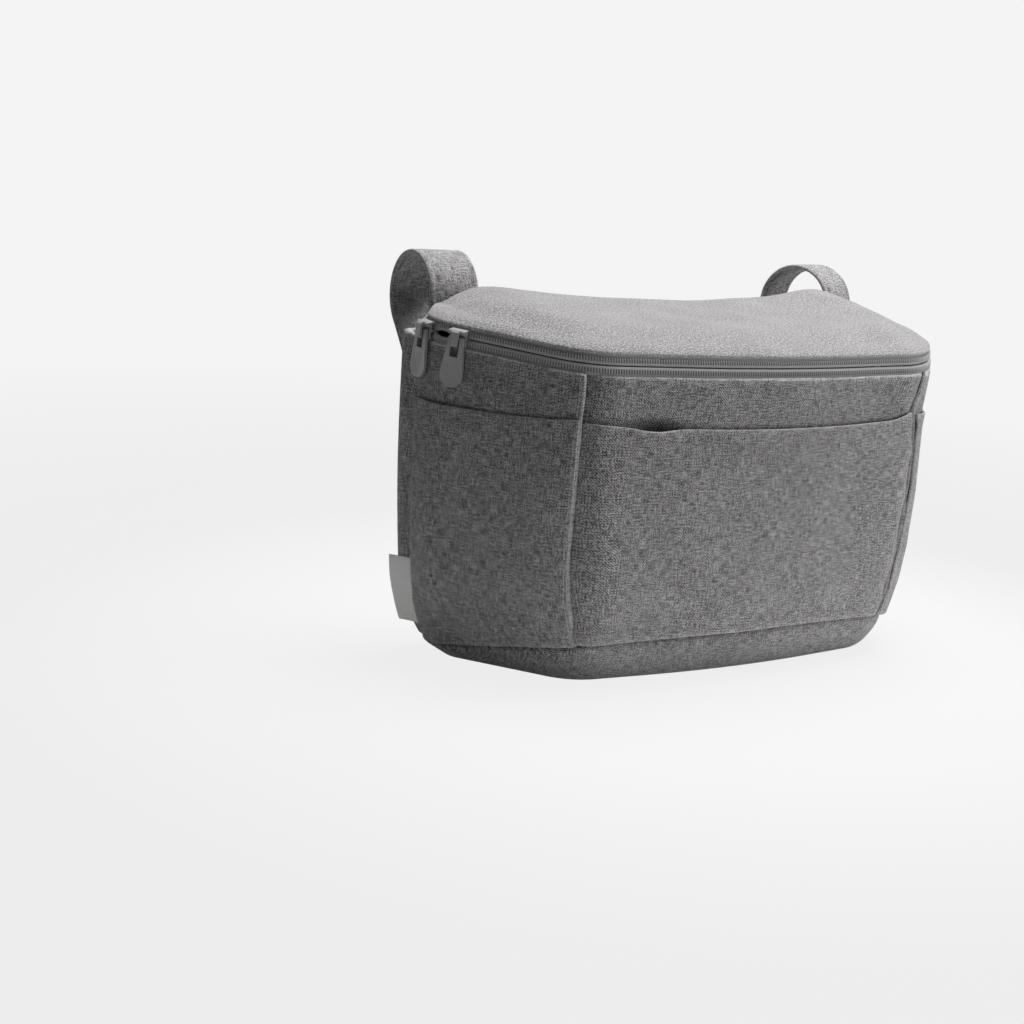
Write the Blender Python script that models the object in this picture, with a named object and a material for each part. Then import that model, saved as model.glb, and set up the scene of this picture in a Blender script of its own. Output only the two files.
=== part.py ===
"""Stroller organizer: a zipped fabric bag that hangs from a push bar by two loops.

Metres, +Z up. The origin is on the floor under the flat bottom. The front faces -Y, and
the back panel, with the two bar loops, faces +Y. Half of the plan outline is drawn on the
+X side and mirrored, so a place round the bag is one number, its station: 0 is the middle
of the front, 8 the middle of the back, and stations below 0 are on the -X side.
"""
import math

import bmesh
import bpy
from mathutils import Matrix, Vector

MM = 0.001

# Body: plan outline corners at the rim and, before the bottom's rounding, at the floor
RIM_FRONT_MIDDLE_Y = -61 * MM
RIM_FRONT_CORNER = (117 * MM, -50 * MM)
RIM_SIDE_BEND = (162 * MM, 19 * MM)
RIM_BACK_X = 166 * MM
FLOOR_FRONT_MIDDLE_Y = -60 * MM
FLOOR_FRONT_CORNER = (109 * MM, -49 * MM)
FLOOR_SIDE_BEND = (155 * MM, 18 * MM)
FLOOR_BACK_X = 154 * MM
BACK_Y = 58 * MM
FRONT_RADIUS = 600 * MM
FRONT_CORNER_RADIUS = 45 * MM
SIDE_BEND_RADIUS = 25 * MM
BACK_CORNER_RADIUS = 14 * MM
LID_CORNER_RADIUS = 23 * MM

# Body: heights
RIM_Z = 161.5 * MM
RIM_SLOPE = 0.098
BOTTOM_SEAM_FRONT_Z = 25 * MM
BOTTOM_SEAM_BACK_Z = 7 * MM
BOTTOM_SEAM_FALL = 85 * MM
BOTTOM_ROUND_HEIGHT = 44 * MM
BOTTOM_ROUND_INSET = 16.5 * MM
FRONT_MOUTH_Z = 139 * MM
FRONT_MOUTH_SAG = 3.5 * MM
SIDE_MOUTH_Z = 140 * MM
SIDE_MOUTH_SAG = 2 * MM

# Cloth
SIDE_BULGE = 3 * MM
WALL = 3 * MM
POCKET_CLOTH = 1.8 * MM
GAP = 0.3 * MM
SEAM_VALLEY = 2.5 * MM
SEAM_VALLEY_WIDTH = 7 * MM
FRONT_RECESS = 3.5 * MM
FRONT_POCKET_ROOM = 6.5 * MM
SIDE_RECESS = 4.5 * MM
SIDE_POCKET_ROOM = 6.2 * MM
POCKET_EDGE = 14 * MM
BACK_STRIP = 19 * MM

# Zip
ZIP_BAND = 11 * MM
ZIP_GROOVE = 1.2 * MM
ZIP_OPEN_GROOVE = 3.6 * MM
ZIP_END_TO_BEND = 10.5 * MM
TAPE_RECESS = 1.8 * MM
TAPE_THICKNESS = 0.8 * MM
TOOTH_LENGTH = 2.8 * MM
TOOTH_PITCH = 3 * MM
TOOTH_HEIGHT = 1.2 * MM
TOOTH_RELIEF = 0.7 * MM
SLIDER_LENGTH = 9 * MM
SLIDER_HALF_HEIGHT = 4.6 * MM
SLIDER_PLATE = 1.3 * MM
SLIDER_CLEARANCE = 0.4 * MM
SLIDER_FLANGE = 0.8 * MM
SLIDER_POST = 0.6 * MM
CROWN_WIDTH = 4 * MM
CROWN_THICKNESS = 1.3 * MM
CROWN_ROOM = 2.8 * MM
CROWN_REACH = 3 * MM
SHOULDER_WIDTH = 9.5 * MM
SHOULDER_HEIGHT = 2.4 * MM
FRONT_SLIDER_FROM_BEND = 5.5 * MM
REAR_SLIDER_FROM_BEND = 5 * MM
PULL_LENGTH = 31 * MM
PULL_TOP_WIDTH = 8.4 * MM
PULL_BOTTOM_WIDTH = 13 * MM
PULL_THICKNESS = 1.8 * MM
PULL_WINDOW_WIDTH = 4.8 * MM
PULL_WINDOW_LENGTH = 8.5 * MM

# Lid
LID_OVERHANG = 0.8 * MM
LID_CLOTH = 3 * MM
LID_FRONT_RISE = 5 * MM
LID_BACK_RISE = 12.8 * MM
LID_SHOULDER = 34 * MM
LID_CORNER_REACH = 42 * MM
LID_BACK_SAG = 8.5 * MM
LID_SEAT = 0.5 * MM

# Bar loops and their hook-and-loop patches
BAR_DIAMETER = 38 * MM
BAR_CLEARANCE = 0.7 * MM
BAR_Z = 189 * MM
STRAP_X = 135 * MM
STRAP_WIDTH = 30 * MM
STRAP_CLOTH = 2.5 * MM
STRAP_SEWN_Z = 149 * MM
STRAP_BEND_Z = 138 * MM
STRAP_BEND_RADIUS = 8 * MM
STRAP_END_Z = 94 * MM
PATCH_THICKNESS = 1.2 * MM
PATCH_LENGTH = 40 * MM
PATCH_MARGIN = 3 * MM

# Label
LABEL_TOP_Z = 52.5 * MM
LABEL_HEIGHT = 36 * MM
LABEL_LENGTH = 16 * MM
LABEL_THICKNESS = 0.8 * MM
LABEL_LEAN = math.radians(12)

# Mesh fineness
LONG_STEP = 16 * MM
TURN_STEP = math.radians(16)
BAR_SIDES = 24

HALF_GAP = GAP / 2
FRONT_SEAM = 2.5
REAR_STRAIGHT = 5
BACK_STRAIGHT = 7
BACK_MIDDLE = 8
LID_Z = RIM_Z + ZIP_BAND


def mix(a, b, t):
    """Value t of the way from a to b, for numbers and for plan points."""
    if isinstance(a, tuple):
        return tuple(mix(p, q, t) for p, q in zip(a, b))
    return a + (b - a) * t


def smooth(t):
    """Soft step from 0 at t = 0 to 1 at t = 1."""
    t = min(max(t, 0.0), 1.0)
    return t * t * (3 - 2 * t)


def corners(z):
    """Corner points of the half outline at a height, before they are rounded."""
    t = min(z / RIM_Z, 1.0)
    back_x = mix(FLOOR_BACK_X, RIM_BACK_X, t)
    return [Vector((0, mix(FLOOR_FRONT_MIDDLE_Y, RIM_FRONT_MIDDLE_Y, t))),
            Vector(mix(FLOOR_FRONT_CORNER, RIM_FRONT_CORNER, t)),
            Vector(mix(FLOOR_SIDE_BEND, RIM_SIDE_BEND, t)),
            Vector((back_x, BACK_Y)),
            Vector((0, BACK_Y))]


def outward(p, q):
    """Unit plan normal on the right of the way from p to q."""
    way = (q - p).normalized()
    return Vector((way.y, -way.x))


def inset_corners(points, distance):
    """The corner points after every side has moved inward."""
    mirrored = Vector((-points[1].x, points[1].y))
    around = [mirrored] + points + [Vector((-points[3].x, points[3].y))]
    moved = []
    for before, point, after in zip(around, around[1:], around[2:]):
        a = outward(before, point)
        b = outward(point, after)
        moved.append(point - (a + b) * (distance / (1 + a.dot(b))))
    return moved


OUTLINES = {}


def outline(z, inset=0.0):
    """Half outline as eight pieces, arcs at even places and straights at odd ones."""
    key = (round(z, 7), round(inset, 7))
    if key in OUTLINES:
        return OUTLINES[key]
    points = inset_corners(corners(z), inset)
    back_radius = LID_CORNER_RADIUS if z > RIM_Z else BACK_CORNER_RADIUS
    radii = [FRONT_RADIUS, FRONT_CORNER_RADIUS, SIDE_BEND_RADIUS, back_radius]
    radii = [max(radius - inset, MM) for radius in radii]
    around = [Vector((-points[1].x, points[1].y))] + points
    pieces = []
    start = None
    for before, point, after, radius in zip(around, around[1:], around[2:], radii):
        a = (point - before).normalized()
        b = (after - point).normalized()
        turn = a.angle_signed(b) * -1
        reach = radius * math.tan(turn / 2)
        centre = point - a * reach + Vector((-a.y, a.x)) * radius
        first = math.atan2(-a.x, a.y)
        if start is not None:
            pieces.append(("straight", start, point - a * reach))
        else:
            first = first + turn / 2
            turn = turn / 2
        pieces.append(("arc", centre, radius, first, turn))
        start = point + b * reach
    pieces.append(("straight", start, points[-1]))
    OUTLINES[key] = pieces
    return pieces


def plan_place(station, z, inset=0.0):
    """Plan point and outward normal at a station."""
    pieces = outline(z, inset)
    place = abs(station)
    index = min(int(place), BACK_MIDDLE - 1)
    share = place - index
    piece = pieces[index]
    if piece[0] == "arc":
        _, centre, radius, first, turn = piece
        angle = first + turn * share
        normal = Vector((math.cos(angle), math.sin(angle)))
        point = centre + normal * radius
    else:
        normal = outward(piece[1], piece[2])
        point = piece[1].lerp(piece[2], share)
    if station < 0:
        point = Vector((-point.x, point.y))
        normal = Vector((-normal.x, normal.y))
    return point, normal


def piece_length(index, z=RIM_Z):
    """Length of one piece of the half outline, at the rim or at the lid."""
    piece = outline(z)[index]
    if piece[0] == "arc":
        return piece[2] * piece[4]
    return (piece[2] - piece[1]).length


def run(station, z=RIM_Z):
    """Distance along the outline from the middle of the front."""
    place = abs(station)
    index = min(int(place), BACK_MIDDLE - 1)
    whole = sum(piece_length(i, z) for i in range(index))
    return whole + piece_length(index, z) * (place - index)


def along(station, distance, z=RIM_Z):
    """Station a distance further on, towards the back, on the +X side."""
    goal = run(station, z) + distance
    index = 0
    while index < BACK_MIDDLE - 1 and goal > piece_length(index, z):
        goal -= piece_length(index, z)
        index += 1
    return index + goal / piece_length(index, z)


ZIP_END = along(REAR_STRAIGHT, ZIP_END_TO_BEND, LID_Z)
LID_END = 6.5
TAB_END = along(BACK_STRAIGHT, -GAP, LID_Z)
STRIP_EDGE = along(6, -BACK_STRIP + BACK_CORNER_RADIUS)
FRONT_SLIDER = along(4, -FRONT_SLIDER_FROM_BEND, LID_Z)
REAR_SLIDER = along(REAR_STRAIGHT, REAR_SLIDER_FROM_BEND, LID_Z)


def rim_height(y):
    """Height of the walls' top edge, which rises towards the back."""
    return RIM_Z + RIM_SLOPE * (y - RIM_FRONT_MIDDLE_Y)


def rim_z(station):
    """Height of the walls' top edge at a station."""
    return rim_height(plan_place(station, RIM_Z)[0].y)


def round_inset(z):
    """How far the rounded bottom has drawn the wall in at a height."""
    if z >= BOTTOM_ROUND_HEIGHT:
        return 0.0
    share = (BOTTOM_ROUND_HEIGHT - z) / BOTTOM_ROUND_HEIGHT
    return BOTTOM_ROUND_INSET * (1 - math.sqrt(max(1 - share * share, 0)))


def skin_point(station, z, inset, out=0.0):
    """Point on the skin, which bulges where it faces sideways between floor and rim."""
    point, normal = plan_place(station, min(z, RIM_Z), inset)
    bulge = SIDE_BULGE * normal.x ** 2 * math.sin(math.pi * min(max(z / RIM_Z, 0), 1))
    point = point + normal * (out + bulge)
    return Vector((point.x, point.y, z))


def wall_point(station, z, out=0.0):
    """Point on the body's outer surface, or a distance out from it."""
    return skin_point(station, z, round_inset(z), out)


def seam_z(station):
    """Height of the seam round the bottom panel, which sinks towards the back."""
    point, _ = plan_place(station, RIM_Z)
    share = min((point.y - RIM_FRONT_MIDDLE_Y) / BOTTOM_SEAM_FALL, 1)
    return mix(BOTTOM_SEAM_FRONT_Z, BOTTOM_SEAM_BACK_Z, share)


def stations(first, last, z=RIM_Z):
    """Stations from first to last, close enough together for the curves."""
    low, high = sorted((first, last))
    marks = {low, high}
    for side in (-1, 1):
        for index in range(BACK_MIDDLE):
            piece = outline(z)[index]
            count = math.ceil(piece_length(index, z) / LONG_STEP)
            if piece[0] == "arc":
                count = max(count, math.ceil(piece[4] / TURN_STEP))
            for step in range(count + 1):
                mark = side * (index + step / count)
                if low + 0.02 < mark < high - 0.02:
                    marks.add(round(mark, 6))
    return sorted(marks)


def material(name, colour, roughness, metallic=0.0):
    """Principled material of one colour."""
    made = bpy.data.materials.new(name)
    made.use_nodes = True
    shader = made.node_tree.nodes["Principled BSDF"]
    shader.inputs["Base Color"].default_value = (*colour, 1)
    shader.inputs["Roughness"].default_value = roughness
    shader.inputs["Metallic"].default_value = metallic
    return made


FINISHES = {
    "cloth": ((0.21, 0.205, 0.21), 0.95, 0.0),
    "lining": ((0.06, 0.06, 0.065), 0.9, 0.0),
    "tape": ((0.25, 0.25, 0.25), 0.75, 0.0),
    "teeth": ((0.27, 0.27, 0.27), 0.5, 0.0),
    "metal": ((0.2, 0.2, 0.2), 0.4, 0.3),
    "label": ((0.75, 0.74, 0.73), 0.45, 0.0),
    "hook": ((0.03, 0.03, 0.03), 0.9, 0.0),
}


def add_object(name, mesh_builder, finish):
    """Object made from a bmesh, with faces out and its own material."""
    bmesh.ops.recalc_face_normals(mesh_builder, faces=mesh_builder.faces)
    mesh = bpy.data.meshes.new(name)
    mesh_builder.to_mesh(mesh)
    mesh_builder.free()
    mesh.shade_smooth()
    mesh.set_sharp_from_angle(angle=math.radians(35))
    mesh.materials.append(material(name, *FINISHES[finish]))
    made = bpy.data.objects.new(name, mesh)
    bpy.context.scene.collection.objects.link(made)
    return made


def sheet(name, outer, inner, finish):
    """Closed sheet between two grids of points of one layout."""
    builder = bmesh.new()
    a = [[builder.verts.new(point) for point in row] for row in outer]
    b = [[builder.verts.new(point) for point in row] for row in inner]
    rows = len(outer) - 1
    columns = len(outer[0]) - 1
    for r in range(rows):
        for c in range(columns):
            builder.faces.new((a[r][c], a[r][c + 1], a[r + 1][c + 1], a[r + 1][c]))
            builder.faces.new((b[r][c], b[r + 1][c], b[r + 1][c + 1], b[r][c + 1]))
    for c in range(columns):
        builder.faces.new((a[0][c + 1], a[0][c], b[0][c], b[0][c + 1]))
        builder.faces.new((a[rows][c], a[rows][c + 1], b[rows][c + 1], b[rows][c]))
    for r in range(rows):
        builder.faces.new((a[r][0], a[r + 1][0], b[r + 1][0], b[r][0]))
        builder.faces.new((a[r + 1][columns], a[r][columns], b[r][columns], b[r + 1][columns]))
    return add_object(name, builder, finish)


def seam_valley(station):
    """How far the front is drawn in beside its side seams."""
    away = (run(FRONT_SEAM) - run(station)) / SEAM_VALLEY_WIDTH
    return SEAM_VALLEY * math.exp(-away * away)


def front_mouth(station):
    """Height of the front pocket's top edge."""
    share = run(station) / run(FRONT_SEAM)
    return FRONT_MOUTH_Z - FRONT_MOUTH_SAG * (1 - share * share)


def side_share(station):
    """Place across a side pocket, 0 at the front seam and 1 at the back strip."""
    return (run(station) - run(FRONT_SEAM)) / (run(STRIP_EDGE) - run(FRONT_SEAM))


def side_mouth(station):
    """Height of a side pocket's top edge."""
    share = side_share(station)
    return SIDE_MOUTH_Z - SIDE_MOUTH_SAG * 4 * share * (1 - share)


def pocket_fullness(edge_distance, share_up):
    """Share of a pocket's room: none at its sewn edges, all of it inside them."""
    return smooth(edge_distance / POCKET_EDGE) * smooth(share_up * 3.2)


def front_edge_distance(station):
    """Distance from the nearer side seam of the front."""
    return run(FRONT_SEAM) - run(station)


def side_edge_distance(station):
    """Distance from the nearer edge of a side pocket."""
    return min(run(station) - run(FRONT_SEAM), run(STRIP_EDGE) - run(station))


def front_out(station, share_up):
    """Offset of the front panel's outer face; share_up is 1 at the pocket's mouth."""
    above = max(share_up - 1, 0)
    sunk = FRONT_RECESS * pocket_fullness(front_edge_distance(station), share_up)
    return -seam_valley(station) - sunk * (1 - smooth(above))


def side_out(station, share_up):
    """Offset of a side panel's outer face; share_up is 1 at the pocket's mouth."""
    above = max(share_up - 1, 0)
    sunk = SIDE_RECESS * pocket_fullness(side_edge_distance(station), share_up)
    return -sunk * (1 - smooth(above))


LOW_ROWS = 4
POCKET_ROWS = 4
BAND_ROWS = 3


def pocket_heights(station, mouth):
    """Heights up a wall as far as the pocket's mouth, with the share of the way up."""
    low = seam_z(station) + HALF_GAP
    turn = BOTTOM_ROUND_HEIGHT
    high = mouth(station)
    heights = [mix(low, turn, row / LOW_ROWS) for row in range(LOW_ROWS)]
    heights += [mix(turn, high, row / POCKET_ROWS) for row in range(POCKET_ROWS + 1)]
    for z in heights:
        yield z, (z - low) / (high - low)


def panel_heights(station, mouth):
    """The same heights, and then those on to the rim, where the share is 2."""
    yield from pocket_heights(station, mouth)
    for row in range(1, BAND_ROWS + 1):
        share = row / BAND_ROWS
        yield mix(mouth(station), rim_z(station) - HALF_GAP, share), 1 + share


def wall_grid(marks, heights, mouth, out):
    """Rows of points up the wall, each at its own offset."""
    columns = []
    for mark in marks:
        columns.append([wall_point(mark, z, out(mark, share)) for z, share in heights(mark, mouth)])
    return [list(row) for row in zip(*columns)]


def make_panel(name, marks, mouth, out):
    """Padded wall panel."""
    outer = wall_grid(marks, panel_heights, mouth, out)
    inner = wall_grid(marks, panel_heights, mouth, lambda s, v: out(s, v) - WALL)
    return sheet(name, outer, inner, "cloth")


def make_pocket(name, marks, mouth, out, edge_distance, room):
    """Patch pocket sewn down at its sides and foot, with its mouth standing open."""
    def back_face(station, share):
        full = room * pocket_fullness(edge_distance(station), share)
        return out(station, share) + GAP + full

    def front_face(station, share):
        return back_face(station, share) + POCKET_CLOTH
    outer = wall_grid(marks, pocket_heights, mouth, front_face)
    inner = wall_grid(marks, pocket_heights, mouth, back_face)
    return sheet(name, outer, inner, "cloth")


def make_walls():
    """Front and side panels with their pockets."""
    front_end = along(FRONT_SEAM, -HALF_GAP)
    marks = stations(-front_end, front_end)
    make_panel("front_panel", marks, front_mouth, front_out)
    make_pocket("front_pocket", marks, front_mouth, front_out, front_edge_distance,
                FRONT_POCKET_ROOM)
    first = along(FRONT_SEAM, HALF_GAP)
    last = along(STRIP_EDGE, -HALF_GAP)
    for side, word in ((-1, "left"), (1, "right")):
        marks = stations(side * first, side * last)
        make_panel("side_panel_" + word, marks, side_mouth, side_out)
        make_pocket("side_pocket_" + word, marks, side_mouth, side_out, side_edge_distance,
                    SIDE_POCKET_ROOM)


LID_ROWS = 8


def lid_height(place, away):
    """Height of the lid's top at a plan place, away from its front and side edge."""
    backness = smooth((place.y - RIM_FRONT_MIDDLE_Y) / (BACK_Y - RIM_FRONT_MIDDLE_Y))
    inside = (lid_back_half() + 2 * MM - abs(place.x)) / LID_CORNER_REACH
    corner = 1 - (1 - min(max(inside, 0), 1)) ** 2
    full = smooth(away / LID_SHOULDER) * mix(1, corner, backness)
    rise = mix(LID_FRONT_RISE, LID_BACK_RISE, backness) * full
    middle = 1 - min(abs(place.x) / lid_back_half(), 1.0) ** 2
    sag = LID_BACK_SAG * backness * middle * full
    return rim_height(place.y) + ZIP_BAND + HALF_GAP + LID_CLOTH + rise - sag


def lid_back_half():
    """Half the length of the lid's back edge."""
    return plan_place(BACK_STRAIGHT, LID_Z)[0].x


def lid_ends(station):
    """Plan ends of the lid's row at a station: on its edge and on the back edge."""
    point, normal = plan_place(station, LID_Z)
    reach = lid_back_half() * run(station, LID_Z) / run(LID_END, LID_Z)
    return point + normal * LID_OVERHANG, Vector((math.copysign(reach, station), BACK_Y))


def lid_point(station, share, drop):
    """Point on the lid: share is 0 at the front and side edge, 1 at the back edge."""
    edge, back = lid_ends(station)
    place = edge.lerp(back, share)
    return Vector((place.x, place.y, lid_height(place, (place - edge).length) - drop))


def lid_underside(x, y):
    """Height of the lid's underside over a plan place on the +X side."""
    near = 0.0
    far = run(LID_END, LID_Z)
    for _ in range(20):
        station = along(0, (near + far) / 2, LID_Z)
        edge, back = lid_ends(station)
        share = (y - edge.y) / (BACK_Y - edge.y)
        if mix(edge.x, back.x, share) < x:
            near = (near + far) / 2
        else:
            far = (near + far) / 2
    return lid_point(station, share, LID_CLOTH).z


def lid_shares():
    """Rows of the lid, closer together at its rounded edge."""
    return [(row / LID_ROWS) ** 1.3 for row in range(LID_ROWS + 1)]


def make_lid():
    """Crowned lid, from the zip to the back edge."""
    marks = stations(-LID_END, LID_END, LID_Z)
    outer = [[lid_point(mark, share, 0) for mark in marks] for share in lid_shares()]
    inner = [[lid_point(mark, share, LID_CLOTH) for mark in marks] for share in lid_shares()]
    sheet("lid", outer, inner, "cloth")


def back_top(station):
    """Height of the back panel: the rim on its strips, the lid's back edge between them."""
    point, _ = plan_place(station, RIM_Z)
    if abs(point.x) > lid_back_half() - GAP:
        return rim_z(station) - HALF_GAP
    x = abs(point.x)
    return min(lid_underside(x, y) for y in (BACK_Y - WALL, BACK_Y)) - LID_SEAT


def back_marks():
    """Stations of the back panel: its strip, a step beside the tab, the lid's own columns."""
    half = plan_place(BACK_STRAIGHT, RIM_Z)[0].x
    strip = stations(along(STRIP_EDGE, HALF_GAP), BACK_STRAIGHT)
    places = [lid_back_half(), lid_back_half() - 2 * GAP]
    for mark in stations(0, LID_END, LID_Z):
        place = lid_ends(mark)[1].x
        if place < places[1] - GAP:
            places.append(place)
    right = strip + [BACK_STRAIGHT + (half - x) / half for x in sorted(places, reverse=True)]
    return right + [-mark for mark in reversed(right[:-1])]


def make_back():
    """Back panel, which wraps round both back corners as a narrow strip."""
    grids = []
    for out in (0, -WALL):
        columns = []
        for mark in back_marks():
            heights = [z for z, _ in pocket_heights(mark, back_top)]
            columns.append([wall_point(mark, z, out) for z in heights])
        grids.append([list(row) for row in zip(*columns)])
    sheet("back_panel", grids[0], grids[1], "cloth")


def tray_point(station, share, thickness):
    """Point on the rounded edge of the bottom: share is 0 at the seam, 1 at the floor."""
    height = BOTTOM_ROUND_HEIGHT
    first = math.asin((height - seam_z(station) + HALF_GAP) / height)
    angle = mix(first, math.pi / 2, share)
    slope = Vector((math.cos(angle) / BOTTOM_ROUND_INSET, math.sin(angle) / height))
    slope.normalize()
    if share == 0:
        slope = Vector((1, 0))
    inset = BOTTOM_ROUND_INSET * (1 - math.cos(angle)) + thickness * slope.x
    z = height * (1 - math.sin(angle)) + thickness * slope.y
    return skin_point(station, z, inset)


def make_bottom():
    """Bottom panel: a shallow tray with a flat middle and a rounded edge."""
    half = stations(0, BACK_MIDDLE)
    ring = half + [-mark for mark in reversed(half[1:-1])]
    steps = 5
    builder = bmesh.new()
    shells = []
    for thickness in (0, WALL):
        rings = []
        for step in range(steps + 1):
            places = [tray_point(mark, step / steps, thickness) for mark in ring]
            rings.append([builder.verts.new(place) for place in places])
        shells.append(rings)
    count = len(ring)
    for rings in shells:
        for upper, lower in zip(rings, rings[1:]):
            for i in range(count):
                j = (i + 1) % count
                builder.faces.new((upper[i], upper[j], lower[j], lower[i]))
        floor = rings[-1]
        middle = len(half) - 1
        for i in range(middle):
            corner = [floor[i], floor[i + 1], floor[(count - i - 1) % count], floor[-i % count]]
            unique = list(dict.fromkeys(corner))
            builder.faces.new(unique)
    for i in range(count):
        j = (i + 1) % count
        builder.faces.new((shells[0][0][i], shells[0][0][j], shells[1][0][j], shells[1][0][i]))
    add_object("bottom_panel", builder, "cloth")


def groove_half(station):
    """Half the gap between the zip's two rows, which stand apart between the sliders."""
    if station >= 0:
        return ZIP_GROOVE / 2
    first = run(FRONT_SLIDER, LID_Z) + SLIDER_LENGTH / 2
    last = run(REAR_SLIDER, LID_Z) - SLIDER_LENGTH / 2
    share = (run(station, LID_Z) - first) / (last - first)
    if not 0 < share < 1:
        return ZIP_GROOVE / 2
    return mix(ZIP_GROOVE, ZIP_OPEN_GROOVE, math.sin(math.pi * share)) / 2


def zip_point(station, out, up):
    """Point by the zip: out from the wall's face, up from the zip's centre line."""
    point, normal = plan_place(station, LID_Z)
    place = point + normal * out
    return Vector((place.x, place.y, rim_height(point.y) + ZIP_BAND / 2 + up))


def even_marks(end, pitch):
    """Stations a pitch apart along the whole zip."""
    length = run(end, LID_Z)
    count = round(2 * length / pitch)
    marks = []
    for step in range(count + 1):
        place = mix(-length, length, step / count)
        marks.append(math.copysign(along(0, abs(place), LID_Z), place))
    return marks


def make_zip():
    """Two tapes, each with its row of teeth along the edge at the centre."""
    end = along(ZIP_END, -HALF_GAP, LID_Z)
    outer_face = -TAPE_RECESS
    inner_face = -TAPE_RECESS - TAPE_THICKNESS
    edge = ZIP_BAND / 2 - HALF_GAP
    tooth_foot = outer_face + GAP
    for side, word in ((1, "upper"), (-1, "lower")):
        marks = [mark for mark in even_marks(end, LONG_STEP / 2)]
        grids = []
        for out in (outer_face, inner_face):
            rows = []
            rows.append([zip_point(mark, out, side * groove_half(mark)) for mark in marks])
            rows.append([zip_point(mark, out, side * edge) for mark in marks])
            grids.append(rows)
        sheet("zip_tape_" + word, grids[0], grids[1], "tape")
        teeth = even_marks(end, TOOTH_PITCH / 2)
        grids = []
        for face in (0, 1):
            near = []
            far = []
            for number, mark in enumerate(teeth):
                crest = tooth_foot
                if face == 0:
                    crest += TOOTH_HEIGHT - (TOOTH_RELIEF if number % 2 else 0)
                start = groove_half(mark)
                near.append(zip_point(mark, crest, side * start))
                far.append(zip_point(mark, crest, side * (start + TOOTH_LENGTH)))
            grids.append([near, far])
        sheet("zip_teeth_" + word, grids[0], grids[1], "teeth")


def make_tabs():
    """Cloth tabs that close the zip's ends and carry on round the back corners."""
    first = along(ZIP_END, HALF_GAP, LID_Z)
    edge = ZIP_BAND / 2 - HALF_GAP
    for side, word in ((-1, "left"), (1, "right")):
        marks = stations(side * first, side * TAB_END, LID_Z)
        grids = []
        for out in (0, -WALL):
            grids.append([[zip_point(mark, out, mix(-edge, edge, row / 2)) for mark in marks]
                          for row in range(3)])
        sheet("zip_end_tab_" + word, grids[0], grids[1], "cloth")


def slider_frame(station):
    """Matrix at the zip's centre line: X along the zip, Y out, Z up, right-handed."""
    here = zip_point(station, 0, 0)
    ahead = zip_point(station + 0.01, 0, 0)
    way = (ahead - here).normalized()
    _, normal = plan_place(station, LID_Z)
    out = Vector((normal.x, normal.y, 0))
    up = way.cross(out).normalized()
    if up.z < 0:
        way = -way
        up = -up
    frame = Matrix((way, out, up)).transposed().to_4x4()
    frame.translation = here
    return frame


def extruded(name, profile, half_width, finish):
    """Prism: a profile in the Y-Z plane, extruded both ways along X."""
    builder = bmesh.new()
    ends = []
    for x in (-half_width, half_width):
        ends.append([builder.verts.new((x, y, z)) for y, z in profile])
    count = len(profile)
    builder.faces.new(ends[0])
    builder.faces.new(list(reversed(ends[1])))
    for i in range(count):
        j = (i + 1) % count
        builder.faces.new((ends[0][i], ends[0][j], ends[1][j], ends[1][i]))
    return add_object(name, builder, finish)


def hidden_tool(tool, target, operation):
    """Keep a solid only as the tool of a Boolean on its target."""
    tool.hide_render = True
    tool.display_type = "WIRE"
    tool.parent = target
    step = target.modifiers.new(operation.lower() + "_" + tool.name, "BOOLEAN")
    step.operation = operation
    step.object = tool
    step.solver = "EXACT"


TOOTH_CREST = -TAPE_RECESS + GAP + TOOTH_HEIGHT
PLATE_LOW = TOOTH_CREST + SLIDER_CLEARANCE
PLATE_TOP = PLATE_LOW + SLIDER_PLATE
PULL_AXIS_OUT = PLATE_TOP + CROWN_ROOM / 2


def body_profile():
    """Slider section: outer plate with flanges, post in the groove, inner plate."""
    half = SLIDER_HALF_HEIGHT
    lip = half - SLIDER_FLANGE
    foot = -TAPE_RECESS + SLIDER_CLEARANCE
    post = SLIDER_POST / 2
    inner_top = -TAPE_RECESS - TAPE_THICKNESS - SLIDER_CLEARANCE
    inner_low = inner_top - SLIDER_PLATE
    right = [(PLATE_TOP, 0), (PLATE_TOP, half - SLIDER_FLANGE / 2), (PLATE_LOW, half), (foot, half),
             (foot, lip), (PLATE_LOW, lip), (PLATE_LOW, post), (inner_top, post),
             (inner_top, half), (inner_low, half)]
    left = [(y, -z) for y, z in reversed(right[1:])]
    return right + left


def crown_profile():
    """Crown that holds the pull's top bar: an arch over it with both feet on the plate."""
    low = PLATE_TOP - SLIDER_PLATE / 2
    inside = PLATE_TOP + CROWN_ROOM
    outside = inside + CROWN_THICKNESS
    reach = CROWN_REACH
    wide = reach + CROWN_THICKNESS
    cut = CROWN_THICKNESS * 0.8
    return [(low, wide), (inside, wide), (outside, wide - cut), (outside, cut - wide),
            (inside, -wide), (low, -wide), (low, -reach), (inside - cut / 2, -reach),
            (inside, cut / 2 - reach), (inside, reach - cut / 2), (inside - cut / 2, reach),
            (low, reach)]


def shoulder_profile():
    """Rounded shoulder along the top of the slider, over the pull's head."""
    low = PLATE_TOP - SLIDER_PLATE / 2
    top = PLATE_TOP + CROWN_ROOM * 0.8
    near = SLIDER_HALF_HEIGHT - SHOULDER_HEIGHT
    far = SLIDER_HALF_HEIGHT - SLIDER_FLANGE / 2
    soft = 0.6 * MM
    return [(low, near), (top - soft, near), (top, near + soft), (top, far - soft),
            (top - soft, far), (low, far)]


def bevel(target, width):
    """Small rounded edges."""
    step = target.modifiers.new("edges", "BEVEL")
    step.width = width
    step.segments = 2
    step.limit_method = "ANGLE"
    step.angle_limit = math.radians(40)


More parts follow.
